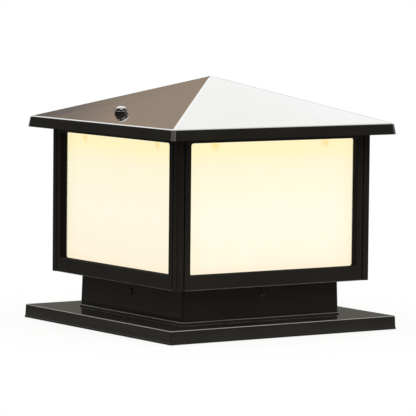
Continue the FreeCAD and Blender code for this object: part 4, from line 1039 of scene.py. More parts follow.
# %% Make the neck
neck_high = reach("neck")[1]
FOOT_HALF = neck_high.x
NECK_TOP = neck_high.z
FOOT_STEP = 1.4
TAPER = 1.4
NECK_LOW_HALF = FOOT_HALF - FOOT_STEP
NECK_HALF = NECK_LOW_HALF - TAPER
NECK_SHEET = 1.5
FOOT_TOP = BASE_TOP + FOOT_RISE
FLANGE_IN = NECK_LOW_HALF - NECK_SHEET - 18.0
NECK_CORNER = 2.5
FLANGE_DRILL_LOW = 10
neck_section = [
    (FLANGE_IN, BASE_TOP + NECK_SHEET, 0.4),
    (NECK_LOW_HALF - NECK_SHEET, BASE_TOP + NECK_SHEET, 0.8),
    (NECK_HALF - NECK_SHEET, NECK_TOP, 0.2),
    (NECK_HALF, NECK_TOP, 0.4),
    (NECK_LOW_HALF - 0.06, FOOT_TOP, 0.3),
    (FOOT_HALF, FOOT_TOP, 0.8),
    (FOOT_HALF, BASE_TOP, 0.2),
    (FLANGE_IN, BASE_TOP, 0.3),
]
neck_builder = carried_round(neck_section, nested_corner(NECK_HALF, NECK_CORNER))
flange_holes = [(x, y, FLANGE_DRILL_LOW, SHEET_DRILL_HIGH, BOLT_HOLE) for x, y in foot_bolt_places]
neck_box = finished(drilled(neck_builder, flange_holes), "neck_box", "neck", finishes["base_paint"])
print("neck", len(neck_box.data.polygons), "faces")

# %% [markdown]
# ## Softened copies of CAD pieces
#
# Frames, posts, panels and brackets already have the right shape in CAD, but their edges are knife
# sharp, and a sharp edge never catches the light. A copy of the CAD mesh is welded, its flat faces
# are joined, and its sharp edges get a small bevel: powder coat rounds an edge by about 0.3 mm,
# while the frames' top and bottom are folded and have a true bend.

# %% A helper that softens a CAD piece
FOLD_BEND = 1.2
FLAT_ANGLE = math.radians(0.6)


def softened(node, width, name, folded=False, finish=None):
    """A copy of a CAD node with its sharp edges bevelled by a width in millimetres."""
    mesh_builder = bmesh.new()
    mesh_builder.from_mesh(nodes[node].data)
    bmesh.ops.remove_doubles(mesh_builder, verts=mesh_builder.verts, dist=0.002 * MM)
    bmesh.ops.dissolve_limit(
        mesh_builder, angle_limit=FLAT_ANGLE, verts=mesh_builder.verts, edges=mesh_builder.edges,
    )

    def is_fold(edge):
        """True for an edge along the outside of the frame's top or bottom fold."""
        spots = [vertex.co / MM for vertex in edge.verts]
        outside = all(max(abs(spot.x), abs(spot.y)) > BODY_HALF - 0.01 for spot in spots)
        at_foot = all(spot.z < body_low.z + 0.01 for spot in spots)
        at_head = all(spot.z > body_high.z - 0.01 for spot in spots)
        return outside and (at_foot or at_head)

    def bevel(edges, offset, steps):
        """Rounds the edges by an offset in millimetres."""
        bmesh.ops.bevel(
            mesh_builder, geom=edges, offset=offset * MM, offset_type="OFFSET", segments=steps, profile=0.5,
            affect="EDGES", clamp_overlap=True,
        )

    if folded:
        bevel([edge for edge in mesh_builder.edges if edge.is_manifold and is_fold(edge)], FOLD_BEND, 4)
    inner = [edge for edge in mesh_builder.edges if edge.is_manifold]
    bevel([edge for edge in inner if edge.calc_face_angle(0) > SMOOTH_ANGLE], width, 2)
    for layer in list(mesh_builder.loops.layers.float_vector.values()):
        mesh_builder.loops.layers.float_vector.remove(layer)
    return finished(mesh_builder, name, node, finish)


def past_box(piece, node):
    """How far a piece reaches past its CAD node's box, in millimetres."""
    low = Vector(min(c) for c in zip(*(v.co for v in piece.data.vertices))) / MM
    high = Vector(max(c) for c in zip(*(v.co for v in piece.data.vertices))) / MM
    cad_low, cad_high = reach(node)
    return max(max(cad_low - low), max(high - cad_high))


print("softening helper ready")

# %% Soften the pieces whose CAD shape is right
SIDES = ("front", "right", "back", "left")
SOFTENED = {}  # for each node: the new piece's name, the bevel in millimetres, and if it has folds
for side in SIDES:
    SOFTENED[f"face_frame_{side}"] = ("window_frame_" + side, 0.3, True)
    SOFTENED[f"opal_panel_{side}"] = ("lit_panel_" + side, 0.3, False)
for corner in ("front_left", "front_right", "back_right", "back_left"):
    SOFTENED[f"corner_post_{corner}"] = ("post_" + corner, 0.3, False)
SOFTENED.update({
    "lantern_floor": ("floor_sheet", 0.3, False),
    "floor_collar": ("collar_sheet", 0.4, False),
    "head_ring": ("ring_sheet", 0.3, False),
    "panel_stops": ("stop_strips", 0.25, False),
    "lamp_bracket": ("bracket_sheet", 0.3, False),
    "terminal_block": ("block_body", 0.3, False),
    "base_rail_left": ("rail_left", 0.4, False),
    "base_rail_right": ("rail_right", 0.4, False),
    "roof_spacers": ("stud_sleeves", 0.2, False),
})
for node, (name, width, folded) in SOFTENED.items():
    piece = softened(node, width, name, folded)
    print(f"{name}: {len(piece.data.polygons)} faces, {past_box(piece, node):.3f} mm past the CAD box")

# %% [markdown]
# ## Turned pieces and hexagons
#
# Nuts, washers, the lamp and its holder are turned shapes: a section spun round an axis. A nut is
# the same thing with one more rule: at each angle its radius is held to the hexagon's flat. Where
# the section's chamfer meets the flats, that gives the curved edges that real nuts have.

# %% Helpers for turned pieces
def hexagon(flats):
    """The reach of a hexagon at an angle, from its width across flats."""
    return lambda angle: flats / 2 / math.cos(angle % math.radians(60) - math.radians(30))


def spun(section, steps=48, limit=None):
    """A bmesh of the section (radius, up, bend) spun round Z; limit(angle) holds the radius in."""
    closed = section[0][0] > 0
    mesh_builder = bmesh.new()
    rings = []
    for radius, up in bent(section, closed):
        ring = []
        for step in range(steps if radius > 0.001 else 1):
            angle = math.radians(360 * step / steps)
            held = min(radius, limit(angle)) if limit else radius
            point = Vector((held * math.cos(angle), held * math.sin(angle), up))
            ring.append(mesh_builder.verts.new(point * MM))
        rings.append(ring)
    pairs = list(zip(rings, rings[1:])) + ([(rings[-1], rings[0])] if closed else [])
    for lower, upper in pairs:
        for index in range(steps):
            following = (index + 1) % steps
            corners = (lower[index % len(lower)], lower[following % len(lower)],
                       upper[following % len(upper)], upper[index % len(upper)])
            distinct = list(dict.fromkeys(corners))
            if len(distinct) > 2:
                mesh_builder.faces.new(distinct)
    return mesh_builder


def dome(radius, low, rise, angles):
    """Section points up a dome: its radius, the height it starts at, its rise, and the angles."""
    turns = [math.radians(angle) for angle in angles]
    return [(radius * math.cos(turn), low + rise * math.sin(turn), 0) for turn in turns]


def moved(mesh_builder, x=0.0, y=0.0, up=0.0):
    """The same bmesh, shifted by millimetres."""
    bmesh.ops.translate(mesh_builder, verts=mesh_builder.verts, vec=Vector((x, y, up)) * MM)
    return mesh_builder


def together(*builders):
    """One bmesh with the faces of several."""
    whole = bmesh.new()
    for builder in builders:
        part = bpy.data.meshes.new("part")
        builder.to_mesh(part)
        builder.free()
        whole.from_mesh(part)
        bpy.data.meshes.remove(part)
    return whole


print("turning helpers ready")

# %% [markdown]
# ## The roof's dome nuts and their washers
#
# Each dome nut is a low hexagon under a round crown, bored blind for the stud. It is chromed, so its
# crown shows the white room, while its flats carry a painted dark reflection. The washer below it
# has a sloping foot that lies on the roof.

# %% Make the dome nuts
NUT_FLATS = 13.0
NUT_CORNER = 7.5  # a hair less than the hexagon's own corners
NUT_HEXAGON = 2.2  # the height of the hexagon below the crown
NUT_FACE = NUT_FLATS / 2 - 0.2
NUT_CHAMFER = 0.45
STUD_DIAMETER = 8.0
STUD_FIT = 0.05  # the gap round the stud in a nut's bore
BORE_SPARE = 0.4  # the bore's depth over the stud's end
stud_top = reach("roof_studs")[1].z
for side, x in (("left", -STUD_X), ("right", STUD_X)):
    nut_low, nut_high = reach(f"roof_nut_{side}")
    hex_top = nut_low.z + NUT_HEXAGON
    nut_section = [
        (0, stud_top + BORE_SPARE, 0),
        (STUD_DIAMETER / 2 + STUD_FIT, stud_top + BORE_SPARE, 0),
        (STUD_DIAMETER / 2 + STUD_FIT, nut_low.z + 0.5, 0),
        (STUD_DIAMETER / 2 + 0.5, nut_low.z, 0),
        (NUT_FACE, nut_low.z, 0),
        (NUT_CORNER, nut_low.z + NUT_CHAMFER, 0),
        (NUT_CORNER, hex_top - 0.35, 0),
        (NUT_FLATS / 2 + 0.1, hex_top, 0),
        *dome(NUT_FLATS / 2, hex_top, nut_high.z - hex_top, range(10, 90, 10)),
        (0, nut_high.z, 0),
    ]
    nut_builder = moved(spun(nut_section, 72, hexagon(NUT_FLATS)), x)
    nut = finished(nut_builder, f"dome_nut_{side}", f"roof_nut_{side}")
    print(nut.name, f"{past_box(nut, 'roof_nut_' + side):.3f} mm past its box")

# %% Make the tapered washers
washer_low, washer_high = reach("taper_washers")
WASHER_OUTER = 7.2
WASHER_INNER = STUD_HOLE / 2 + 0.1
washer_section = [
    (WASHER_INNER, washer_low.z, 0),
    (WASHER_OUTER, washer_low.z, 0),
    (WASHER_OUTER, washer_high.z, 0.25),
    (WASHER_INNER, washer_high.z, 0.15),
]
washer_builders = []
for x in (-STUD_X, STUD_X):
    washer = moved(spun(washer_section), x)
    for vertex in washer.verts:
        if vertex.co.z < (washer_low.z + 0.01) * MM:
            vertex.co.z = (roof_height(abs(vertex.co.x) / MM) - 0.02) * MM
    washer_builders.append(washer)
washers = finished(together(*washer_builders), "slope_washers", "taper_washers")
print("washers", len(washers.data.polygons), "faces")

# %% [markdown]
# ## Threads by Geometry Nodes
#
# A thread follows a rule, so a Geometry Nodes tree makes it: a spiral carries a small diamond round
# a plain core, and the diamond's outer point is the crest. Diameter, pitch, length and depth are the
# tree's inputs, so the same tree cuts the studs, the lamp's cap and the earth bolt.

# %% A tree that rolls a thread
def new_tree(name, **sizes):
    """An empty Geometry Nodes tree with a named input for each size; returns its recipe and inputs."""
    tree = bpy.data.node_groups.new(name, "GeometryNodeTree")
    tree.interface.new_socket("Geometry", in_out="INPUT", socket_type="NodeSocketGeometry")
    for label, kind in sizes.items():
        tree.interface.new_socket(label, in_out="INPUT", socket_type="NodeSocket" + kind)
    tree.interface.new_socket("Geometry", in_out="OUTPUT", socket_type="NodeSocketGeometry")
    recipe = Recipe(tree)
    return recipe, recipe.node("NodeGroupInput").outputs


def closed_off(recipe, geometry, material):
    """Ends a tree: instances become real mesh and take the material."""
    real = recipe.node("GeometryNodeRealizeInstances", None, Geometry=geometry)
    dressed = recipe.node("GeometryNodeSetMaterial", None, Geometry=real.outputs[0], Material=material)
    recipe.node("NodeGroupOutput", None, Geometry=dressed.outputs[0])
    return recipe.tree


def rolled_thread():
    """A threaded rod that stands on Z = 0."""
    sizes = {"Diameter": "Float", "Pitch": "Float", "Length": "Float", "Depth": "Float"}
    recipe, given = new_tree("rolled_thread", **sizes, Finish="Material")
    core = recipe.minus(recipe.maths("DIVIDE", given["Diameter"], 2.0), given["Depth"])
    climb = recipe.minus(given["Length"], recipe.times(given["Depth"], 2.0))
    turns = recipe.maths("DIVIDE", climb, given["Pitch"])
    spiral = recipe.node("GeometryNodeCurveSpiral", None, Resolution=24, Rotations=turns,
                         Start_Radius=core, End_Radius=core, Height=climb)
    upright = recipe.node("GeometryNodeSetCurveNormal", {"mode": "Z_UP"}, Curve=spiral.outputs[0])
    diamond = recipe.node("GeometryNodeCurvePrimitiveCircle", {"mode": "RADIUS"},
                          Resolution=4, Radius=given["Depth"])
    tube = recipe.node("GeometryNodeCurveToMesh", None, Curve=upright.outputs[0],
                       Profile_Curve=diamond.outputs[0], Fill_Caps=True)
    lift = recipe.node("ShaderNodeCombineXYZ", None, Z=given["Depth"])
    ridge = recipe.node("GeometryNodeTransform", None, Geometry=tube.outputs[0], Translation=lift.outputs[0])
    rod = recipe.node("GeometryNodeMeshCylinder", None, Vertices=32, Radius=core, Depth=given["Length"])
    middle = recipe.node("ShaderNodeCombineXYZ", None, Z=recipe.maths("DIVIDE", given["Length"], 2.0))
    stood = recipe.node("GeometryNodeTransform", None, Geometry=rod.outputs[0], Translation=middle.outputs[0])
    joined = recipe.node("GeometryNodeJoinGeometry")
    for part in (ridge, stood):
        recipe.tree.links.new(part.outputs[0], joined.inputs[0])
    return closed_off(recipe, joined.outputs[0], given["Finish"])


def grown(tree, start_builder, **inputs):
    """Runs a tree on a mesh with its inputs set by identifier, and returns the plain result."""
    holder = placed(start_builder, "grown")
    step = holder.modifiers.new("tree", "NODES")
    step.node_group = tree
    for item in tree.interface.items_tree:
        if item.item_type == "SOCKET" and item.in_out == "INPUT" and item.name in inputs:
            step[item.identifier] = inputs[item.name]
    return taken_back(holder)


thread_tree = rolled_thread()


def thread(diameter, pitch, length, depth, finish):
    """A threaded rod from sizes in millimetres."""
    return grown(thread_tree, bmesh.new(), Diameter=diameter * MM, Pitch=pitch * MM, Length=length * MM,
                 Depth=depth * MM, Finish=finishes[finish])


print("thread tree with", len(thread_tree.nodes), "nodes")

# %% [markdown]
# ## Studs and the earth bolt
#
# Two studs stand up through the roof. They are threaded all the way, as cut studding is. The earth
# bolt is the same but smaller, with a hexagon head below the floor and a nut above it.

# %% Make the studs
STUD_PITCH = 1.25
STUD_THREAD = 0.6
stud_low = reach("roof_studs")[0].z
studs = together(*[
    moved(thread(STUD_DIAMETER, STUD_PITCH, stud_top - stud_low, STUD_THREAD, "zinc_steel"), x, 0, stud_low)
    for x in (-STUD_X, STUD_X)
])
stud_pair = finished(studs, "threaded_studs", "roof_studs")
print(f"studs {len(stud_pair.data.polygons)} faces, {past_box(stud_pair, 'roof_studs'):.3f} mm past the box")

# %% Make the earth bolt
# A hexagon for a 5 mm thread: its flats, then the radii of its bore, flat face and corners.
SMALL_FLATS = 8.0
SMALL_BORE = 2.55
SMALL_FACE = 3.9
SMALL_CORNER = 4.62
SMALL_CHAMFER = 0.35
SMALL_NUT_HEIGHT = 4.0
SMALL_THREAD = (5.0, 0.8)  # diameter and pitch
SMALL_THREAD_DEPTH = 0.38


def small_nut(low):
    """A hexagon nut for a 5 mm thread that stands at a height."""
    high = low + SMALL_NUT_HEIGHT
    return spun([
        (SMALL_BORE, low, 0), (SMALL_FACE, low, 0), (SMALL_CORNER, low + SMALL_CHAMFER, 0),
        (SMALL_CORNER, high - SMALL_CHAMFER, 0), (SMALL_FACE, high, 0), (SMALL_BORE, high, 0),
    ], limit=hexagon(SMALL_FLATS))


earth_low, earth_high = reach("earth_bolt")
earth_x = (earth_low.x + earth_high.x) / 2
earth_y = (earth_low.y + earth_high.y) / 2
floor_low, floor_high = reach("lantern_floor")
hex_head = [
    (0, earth_low.z, 0), (SMALL_FACE, earth_low.z, 0), (SMALL_CORNER, earth_low.z + SMALL_CHAMFER, 0),
    (SMALL_CORNER, floor_low.z, 0), (0, floor_low.z, 0),
]
earth_rod = thread(*SMALL_THREAD, earth_high.z - floor_low.z, SMALL_THREAD_DEPTH, "brass")
earth = together(
    moved(spun(hex_head, limit=hexagon(SMALL_FLATS)), earth_x, earth_y),
    moved(earth_rod, earth_x, earth_y, floor_low.z),
    moved(small_nut(floor_high.z), earth_x, earth_y),
)
earth_stud = finished(earth, "earth_stud", "earth_bolt")
print("earth bolt", f"{past_box(earth_stud, 'earth_bolt'):.3f} mm past the box")

# %% [markdown]
# ## Screws, bolts and clips by Geometry Nodes
#
# Forty-odd small fasteners repeat in rows, so each kind is made once and a tree sets a copy on every
# place. The places are read from the CAD solids, so they always agree. Each copy is turned a little
# at random, because nobody lines up screw heads, and the seed is fixed so that each run is the same.

# %% A tree that sets a pattern on every place
def set_on_places():
    """Instances of a pattern on the start mesh's points, turned by an attribute and at random."""
    recipe, given = new_tree("set_on_places", Pattern="Object", Spread="Float", Seed="Int", Finish="Material")
    pattern = recipe.node("GeometryNodeObjectInfo", {"transform_space": "ORIGINAL"}, Object=given["Pattern"])
    turn = recipe.node("GeometryNodeInputNamedAttribute", {"data_type": "FLOAT"}, Name="turn")
    chance = recipe.node("FunctionNodeRandomValue", {"data_type": "FLOAT"}, Seed=given["Seed"])
    extra = recipe.times(chance.outputs[1], given["Spread"])
    whole = recipe.node("ShaderNodeCombineXYZ", None, Z=recipe.plus(turn.outputs[0], extra))
    copies = recipe.node("GeometryNodeInstanceOnPoints", None, Points=given["Geometry"],
                         Instance=pattern.outputs["Geometry"], Rotation=whole.outputs[0])
    return closed_off(recipe, copies.outputs[0], given["Finish"])


places_tree = set_on_places()


def solids_of(node):
    """The lowest and highest corners of each separate solid in a CAD node, in millimetres."""
    mesh_builder = bmesh.new()
    mesh_builder.from_mesh(nodes[node].data)
    bmesh.ops.remove_doubles(mesh_builder, verts=mesh_builder.verts, dist=0.001 * MM)
    waiting = set(mesh_builder.verts)
    boxes = []
    while waiting:
        front = [waiting.pop()]
        found = list(front)
        while front:
            vertex = front.pop()
            for edge in vertex.link_edges:
                other = edge.other_vert(vertex)
                if other in waiting:
                    waiting.remove(other)
                    front.append(other)
                    found.append(other)
        spots = [vertex.co / MM for vertex in found]
        boxes.append((Vector(map(min, zip(*spots))), Vector(map(max, zip(*spots)))))
    mesh_builder.free()
    return sorted(boxes, key=lambda box: tuple(box[0]))


def row_of(pattern_builder, places, name, node, spread=0.0, seed=1):
    """A set of copies; each place is (x, y, up, turn) in millimetres and radians."""
    pattern = placed(pattern_builder, "pattern")
    points = bmesh.new()
    turns = points.verts.layers.float.new("turn")
    for x, y, up, turn in places:
        points.verts.new(Vector((x, y, up)) * MM)[turns] = turn
    finish = finishes[slot_of[node]]
    result = grown(places_tree, points, Pattern=pattern, Spread=spread, Seed=seed, Finish=finish)
    bpy.data.objects.remove(pattern)
    piece = finished(result, name, node)
    faces = len(piece.data.polygons)
    print(f"{name}: {len(places)} copies, {faces} faces, {past_box(piece, node):.3f} mm past the box")


print(len(solids_of("small_screws")), "small screws in CAD")

# %% A pan head screw with its cross recess
CROSS_ARM = 0.3
CROSS_WIDTH = 0.07
POINT_CHAMFER = 0.3


def pan_screw(head, head_height, shank, length, steps=24):
    """A screw that points down, with its head's seat at height 0; sizes in millimetres."""
    screw = spun([
        (0, head_height, 0),
        (head * 0.25, head_height * 0.98, 0),
        (head / 2, head_height * 0.62, head_height * 0.35),
        (head / 2, 0, 0.1),
        (shank / 2, 0, 0),
        (shank / 2, POINT_CHAMFER - length, 0),
        (shank / 2 - POINT_CHAMFER, -length, 0),
        (0, -length, 0),
    ], steps)
    arm = bmesh.new()
    bmesh.ops.create_cube(arm, size=1.0)
    arm_size = Vector((2 * CROSS_ARM * head, 2 * CROSS_WIDTH * head, head_height)) * MM
    bmesh.ops.scale(arm, verts=arm.verts, vec=arm_size)
    other_arm = moved(arm, 0, 0, head_height * 1.05).copy()
    quarter_turn = Matrix.Rotation(math.radians(90), 3, "Z")
    bmesh.ops.rotate(other_arm, verts=other_arm.verts, cent=(0, 0, 0), matrix=quarter_turn)
    return cut(cut(screw, arm), other_arm)


print("a screw's cross is", CROSS_ARM * 2, "of its head wide")

# %% Set the screws, bolts and nuts
# Sizes in the order that pan_screw takes them: head, head's height, shank, length.
SCREW_SIZES = (5.5, 1.7, 3.0, 3.1)
BOLT_SIZES = (BOLT_HEAD, 3.0, 5.0, 8.0)
HEAD_TURN = 1.5  # radians, the most that a head is turned at random


def middles(node):
    """The middle of each solid of a node, with the solid's lowest and highest heights."""
    return [((low.x + high.x) / 2, (low.y + high.y) / 2, low.z, high.z) for low, high in solids_of(node)]


row_of(pan_screw(*SCREW_SIZES),
       [(x, y, high - SCREW_SIZES[1], 0) for x, y, low, high in middles("small_screws")],
       "pan_screws", "small_screws", spread=HEAD_TURN, seed=7)
row_of(pan_screw(*BOLT_SIZES, steps=36),
       [(x, y, high - BOLT_SIZES[1], 0) for x, y, low, high in middles("neck_foot_bolts")],
       "foot_bolts", "neck_foot_bolts", spread=HEAD_TURN, seed=11)
row_of(small_nut(0), [(x, y, low, 0) for x, y, low, high in middles("neck_foot_nuts")],
       "foot_nuts", "neck_foot_nuts")

# %% Set the countersunk screws in the posts
SUNK_LENGTH = 14.0
SUNK_HEAD = 3.5
SUNK_SHANK = 1.65
SUNK_RIM = 0.2
CONE_LOW = 12.4  # the height at which the head's cone meets the shank
RECESS_LOW = 12.9
sunk_section = [
    (0, SUNK_LENGTH, 0),
    (SUNK_HEAD - SUNK_RIM, SUNK_LENGTH, 0.1),
    (SUNK_HEAD, SUNK_LENGTH - SUNK_RIM, 0),
    (SUNK_SHANK, CONE_LOW, 0),
    (SUNK_SHANK, 0.4, 0),
    (1.2, 0, 0),
    (0, 0, 0),
]
square_recess = moved(spun([(0, 2.0, 0), (1.2, 2.0, 0), (0.7, 0, 0), (0, 0, 0)], 4), up=RECESS_LOW)
row_of(cut(spun(sunk_section, 36), square_recess),
       [(x, y, low, 0) for x, y, low, high in middles("ring_screws")],
       "sunk_screws", "ring_screws", spread=HEAD_TURN, seed=5)

# %% [markdown]
# ## The spring clips
#
# Eight clips hang from the head ring and press the panels forward. Each is a strip of spring steel:
# a flat foot under the ring, one tight bend, and a leaf whose end is curled away so that it doesn't
# scratch the acrylic. Their shadows are the two warm spots at the top of each window.

# %% Make the clips
CLIP_SHEET = 1.0
CLIP_WIDTH = 10.0
CLIP_DROP = 15.0
CLIP_FOOT_LENGTH = 14.0
CURL_OUT = 1.6
CURL_UP = 3.0
leaf = [
    (0, CURL_UP - CLIP_DROP, 1.0),
    (CURL_OUT, -CLIP_DROP, 0.3),
    (CURL_OUT + CLIP_SHEET * 0.8, 0.6 - CLIP_DROP, 0.3),
    (CLIP_SHEET, CURL_UP + 0.6 - CLIP_DROP, 1.0),
    (CLIP_SHEET, -CLIP_SHEET, 0.5),
    (CLIP_FOOT_LENGTH, -CLIP_SHEET, 0.2),
    (CLIP_FOOT_LENGTH, 0, 0.2),
    (0, 0, 1.4),
]
clip = bmesh.new()
rims = []
for across in (-CLIP_WIDTH / 2, CLIP_WIDTH / 2):
    rims.append([clip.verts.new(Vector((across, out, up)) * MM) for out, up in bent(leaf)])
for index in range(len(rims[0])):
    following = (index + 1) % len(rims[0])
    clip.faces.new((rims[0][index], rims[0][following], rims[1][following], rims[1][index]))
clip.faces.new(rims[0])
clip.faces.new(rims[1][::-1])
clip_places = []
for low, high in solids_of("panel_clips"):
    x, y = (low.x + high.x) / 2, (low.y + high.y) / 2
    along_x = high.x - low.x < high.y - low.y
    if along_x:
        clip_places.append((x, low.y if y < 0 else high.y, high.z, 0 if y < 0 else math.pi))
    else:
        clip_places.append((low.x if x < 0 else high.x, y, high.z, -math.pi / 2 if x < 0 else math.pi / 2))
row_of(clip, clip_places, "spring_clips", "panel_clips")

# %% [markdown]
# ## The neck's screws
#
# One screw through the middle of each neck face holds the lantern's collar. They are black, and only
# a low round head shows. Each turns on its own body, so each is a piece of its own.

# %% Make the neck's screws
SIDE_SCREW_SIZES = (6.4, 1.6, 4.0, 10.0)  # head, head's height, shank, length
side_low, side_high = reach("neck_screw_front")
seat = Vector((0, side_low.y + SIDE_SCREW_SIZES[1], (side_low.z + side_high.z) / 2)) * MM
on_front = Matrix.Translation(seat) @ Matrix.Rotation(math.radians(90), 4, "X")
for quarter, side in enumerate(SIDES):
    node = "neck_screw_" + side
    screw = pan_screw(*SIDE_SCREW_SIZES, steps=36)
    to_side = Matrix.Rotation(math.radians(90 * quarter), 4, "Z")
    bmesh.ops.transform(screw, verts=screw.verts, matrix=to_side @ on_front)
    piece = finished(screw, "side_screw_" + side, node)
    print(piece.name, f"{past_box(piece, node):.3f} mm past its box")

# %% [markdown]
# ## The lamp and its holder
#
# The lamp only shows when the roof is lifted. Its cap has a rolled thread, its body is ribbed to
# lose heat, and its diffuser is a short barrel under a dome. It screws into a glazed ceramic holder
# with a brass shell, whose rolled thread is drawn as waves in its section.

# %% A helper that tells how well pieces keep to their boxes
def tell(title, **pieces):
    """Prints how far each piece reaches past the box of the CAD node whose name it is given by."""
    reaches = [f"{past_box(piece, node):.3f}" for node, piece in pieces.items()]
    print(title, *reaches, "mm past the boxes")


tell("the roof and its band:", roof_skin=roof_sheet, eave_band=eave_fascia)

# %% Make the lamp's cap
CAP_DIAMETER = 26.6
CAP_PITCH = 3.6
CAP_THREAD = 1.1
CAP_TIP = 6.0  # the height of the cap's tip below its thread
cap_low, cap_high = reach("lamp_cap")
tip_section = [
    (0, cap_low.z, 0),
    (3.6, cap_low.z, 0.6),
    (5.0, cap_low.z + 2.0, 0),
    (10.0, cap_low.z + 2.0, 1.0),
    (12.2, cap_low.z + 5.0, 0.8),
    (12.2, cap_low.z + 8.0, 0),
    (0, cap_low.z + 8.0, 0),
]
cap_thread = thread(CAP_DIAMETER, CAP_PITCH, cap_high.z - cap_low.z - CAP_TIP, CAP_THREAD, "zinc_steel")
cap = together(spun(tip_section), moved(cap_thread, up=cap_low.z + CAP_TIP))
lamp_screw_cap = finished(cap, "lamp_screw_cap", "lamp_cap")
tell("lamp's cap:", lamp_cap=lamp_screw_cap)

# %% Make the lamp's body and its diffuser
RIBS = 24
RIB_DEPTH = 0.022  # half of a groove's depth, as a share of the radius there
shell_low, shell_high = reach("lamp_body")
housing_section = [
    (0, shell_low.z, 0),
    (14.0, shell_low.z, 0.6),
    (15.0, shell_low.z + 6.0, 1.5),
    (27.0, shell_high.z - 8.0, 5.0),
    (29.0, shell_high.z - 1.0, 0.5),
    (29.0, shell_high.z, 0.2),
    (0, shell_high.z, 0),
]
housing = spun(housing_section, 192)
for vertex in housing.verts:
    across = math.hypot(vertex.co.x, vertex.co.y) / MM
    height = vertex.co.z / MM
    if 15.5 < across and height < shell_high.z - 4.0:
        groove = 1.0 - RIB_DEPTH * (1.0 - math.cos(RIBS * math.atan2(vertex.co.y, vertex.co.x)))
        vertex.co.x *= groove
        vertex.co.y *= groove
lamp_housing = finished(housing, "lamp_housing", "lamp_body")

globe_radius = globe_high.x
shoulder = globe_high.z - globe_radius
globe_section = [
    (0, globe_low.z, 0),
    (globe_radius - 1.0, globe_low.z, 0.3),
    (globe_radius, shoulder, 0),
    *dome(globe_radius, shoulder, globe_radius, range(6, 90, 6)),
    (0, globe_high.z, 0),
]
lamp_dome = finished(spun(globe_section, 64), "lamp_dome", "lamp_globe")
tell("lamp's body and diffuser:", lamp_body=lamp_housing, lamp_globe=lamp_dome)

# %% Make the lamp holder
HOLDER_BORE = 14.6
HOLDER_FLOOR = 13.0
hold_low, hold_high = reach("lamp_holder")
ceramic_section = [
    (0, hold_low.z, 0),
    (22.0, hold_low.z, 0.6),
    (22.0, hold_low.z + 5.0, 1.6),
    (20.0, hold_low.z + 8.0, 1.6),
    (19.0, hold_high.z - 2.0, 0.8),
    (17.5, hold_high.z, 0.8),
    (HOLDER_BORE, hold_high.z, 0.4),
    (HOLDER_BORE, hold_low.z + HOLDER_FLOOR, 0.4),
    (0, hold_low.z + HOLDER_FLOOR, 0),
]
ceramic = finished(spun(ceramic_section, 64), "ceramic_holder", "lamp_holder")
tell("holder:", lamp_holder=ceramic)

# %% Make the holder's shell and its contact
WAVE_STEPS = 8
WAVE_DEPTH = 0.25
SLEEVE_OUTER = 14.2
SLEEVE_INNER = 13.7
sleeve_low, sleeve_high = reach("holder_shell")
rises = range(int((sleeve_high.z - sleeve_low.z) / CAP_PITCH * WAVE_STEPS) + 1)
heights = [sleeve_low.z + step * CAP_PITCH / WAVE_STEPS for step in rises]
ripple = [(WAVE_DEPTH * math.sin(2 * math.pi * height / CAP_PITCH), height) for height in heights]
sleeve_section = [(SLEEVE_OUTER + wave, height, 0) for wave, height in ripple]
sleeve_section += [(SLEEVE_INNER + wave, height, 0) for wave, height in reversed(ripple)]
screw_sleeve = finished(spun(sleeve_section), "screw_sleeve", "holder_shell")

CONTACT_RADIUS = 4.5
touch_low, touch_high = reach("holder_contact")
contact_section = [
    (0, touch_high.z, 0),
    (3.2, touch_high.z - 0.1, 0.8),
    (CONTACT_RADIUS, touch_low.z + 1.2, 0.4),
    (CONTACT_RADIUS, touch_low.z, 0),
    (0, touch_low.z, 0),
]
contact = finished(spun(contact_section, 32), "spring_contact", "holder_contact")
tell("shell and contact:", holder_shell=screw_sleeve, holder_contact=contact)

# %% [markdown]
# ## The cable gland
#
# The gland passes the supply cable through the lantern's floor: a threaded body with a hexagon, a
# lock nut above the floor, and a cap below that squeezes a rubber sleeve. The cap has a fluted grip
# so that it can be turned by hand.

# %% Make the gland's body
gland_low, gland_high = reach("gland_body")
GLAND_X = (gland_low.x + gland_high.x) / 2
GLAND_Y = (gland_low.y + gland_high.y) / 2
gland_hex = hexagon(24.0)
# Radii of the gland's body, from the cable's bore outwards.
CABLE_BORE = 6.0
SEAL_POCKET = 7.2
BARREL_LOW = 9.0
BARREL_HIGH = 9.2
HEX_FACE = 13.0
HEX_CORNER = 13.8
hex_low = floor_low.z - 6.0
barrel = spun([
    (SEAL_POCKET, gland_low.z, 0),
    (BARREL_LOW, gland_low.z, 0.3),
    (BARREL_LOW, hex_low, 0),
    (HEX_FACE, hex_low, 0),
    (HEX_CORNER, hex_low + 0.5, 0),
    (HEX_CORNER, floor_low.z, 0),
    (BARREL_HIGH, floor_low.z, 0),
    (BARREL_HIGH, gland_high.z, 0.4),
    (CABLE_BORE, gland_high.z, 0.3),
    (CABLE_BORE, hex_low, 0),
    (SEAL_POCKET, hex_low, 0),
], limit=gland_hex)

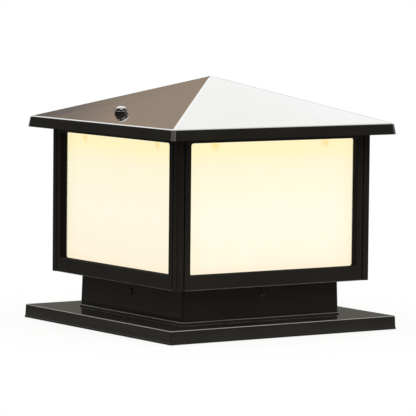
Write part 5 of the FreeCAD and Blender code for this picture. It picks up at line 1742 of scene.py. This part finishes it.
RIDGE_CREST = 10.0
RIDGE_ROOT = 9.3
RIDGE_RISE = 0.75  # from a root to the next crest
rises = range(int((gland_high.z - floor_low.z - 1.0) / RIDGE_RISE))
ridge_foot = floor_low.z + 0.5
ridges = [(RIDGE_CREST if step % 2 else RIDGE_ROOT, ridge_foot + step * RIDGE_RISE, 0) for step in rises]
ridge_section = [(8.9, ridges[0][1], 0)] + ridges + [(8.9, ridges[-1][1], 0)]
barrel = moved(together(barrel, spun(ridge_section)), GLAND_X, GLAND_Y)
gland_barrel = finished(barrel, "gland_barrel", "gland_body")
tell("gland's body:", gland_body=gland_barrel)

# %% Make the gland's lock nut
LOCK_BORE = 10.1
LOCK_FACE = 12.6
LOCK_CORNER = 13.86
LOCK_CHAMFER = 0.6
lock_low, lock_high = reach("gland_locknut")
lock_section = [
    (LOCK_BORE, lock_low.z, 0),
    (LOCK_FACE, lock_low.z, 0),
    (LOCK_CORNER, lock_low.z + LOCK_CHAMFER, 0),
    (LOCK_CORNER, lock_high.z - LOCK_CHAMFER, 0),
    (LOCK_FACE, lock_high.z, 0),
    (LOCK_BORE + 0.5, lock_high.z, 0),
    (LOCK_BORE, lock_high.z - 0.5, 0),
]
lock_builder = moved(spun(lock_section, limit=gland_hex), GLAND_X, GLAND_Y)
lock_ring = finished(lock_builder, "lock_ring", "gland_locknut")
tell("lock nut:", gland_locknut=lock_ring)

# %% Make the gland's cap
GRIP_RADIUS = 13.6
GRIP_BORE = 9.1
GRIP_CORNER = 13.3  # the radius at which the corners of the grip's hexagon are rounded off
FLUTES = 36
FLUTE_DEPTH = 0.18  # half of a flute's depth
grip_low, grip_high = reach("gland_cap")
cap_floor = gland_low.z - 0.3
grip_section = [
    (CABLE_BORE, grip_low.z, 0.3),
    (8.6, grip_low.z, 0.5),
    (12.0, grip_low.z + 3.0, 0.6),
    (GRIP_RADIUS, grip_low.z + 3.6, 0.4),
    (GRIP_RADIUS, grip_high.z, 0.4),
    (GRIP_BORE, grip_high.z, 0.2),
    (GRIP_BORE, cap_floor, 0),
    (CABLE_BORE, cap_floor, 0),
]


def fluted(angle):
    """The cap's grip: a hexagon whose corners are worn round, with shallow flutes."""
    return min(gland_hex(angle), GRIP_CORNER) - FLUTE_DEPTH * (1 + math.cos(FLUTES * angle))


grip_builder = moved(spun(grip_section, 144, fluted), GLAND_X, GLAND_Y)
grip_cap = finished(grip_builder, "grip_cap", "gland_cap")
tell("gland's cap:", gland_cap=grip_cap)
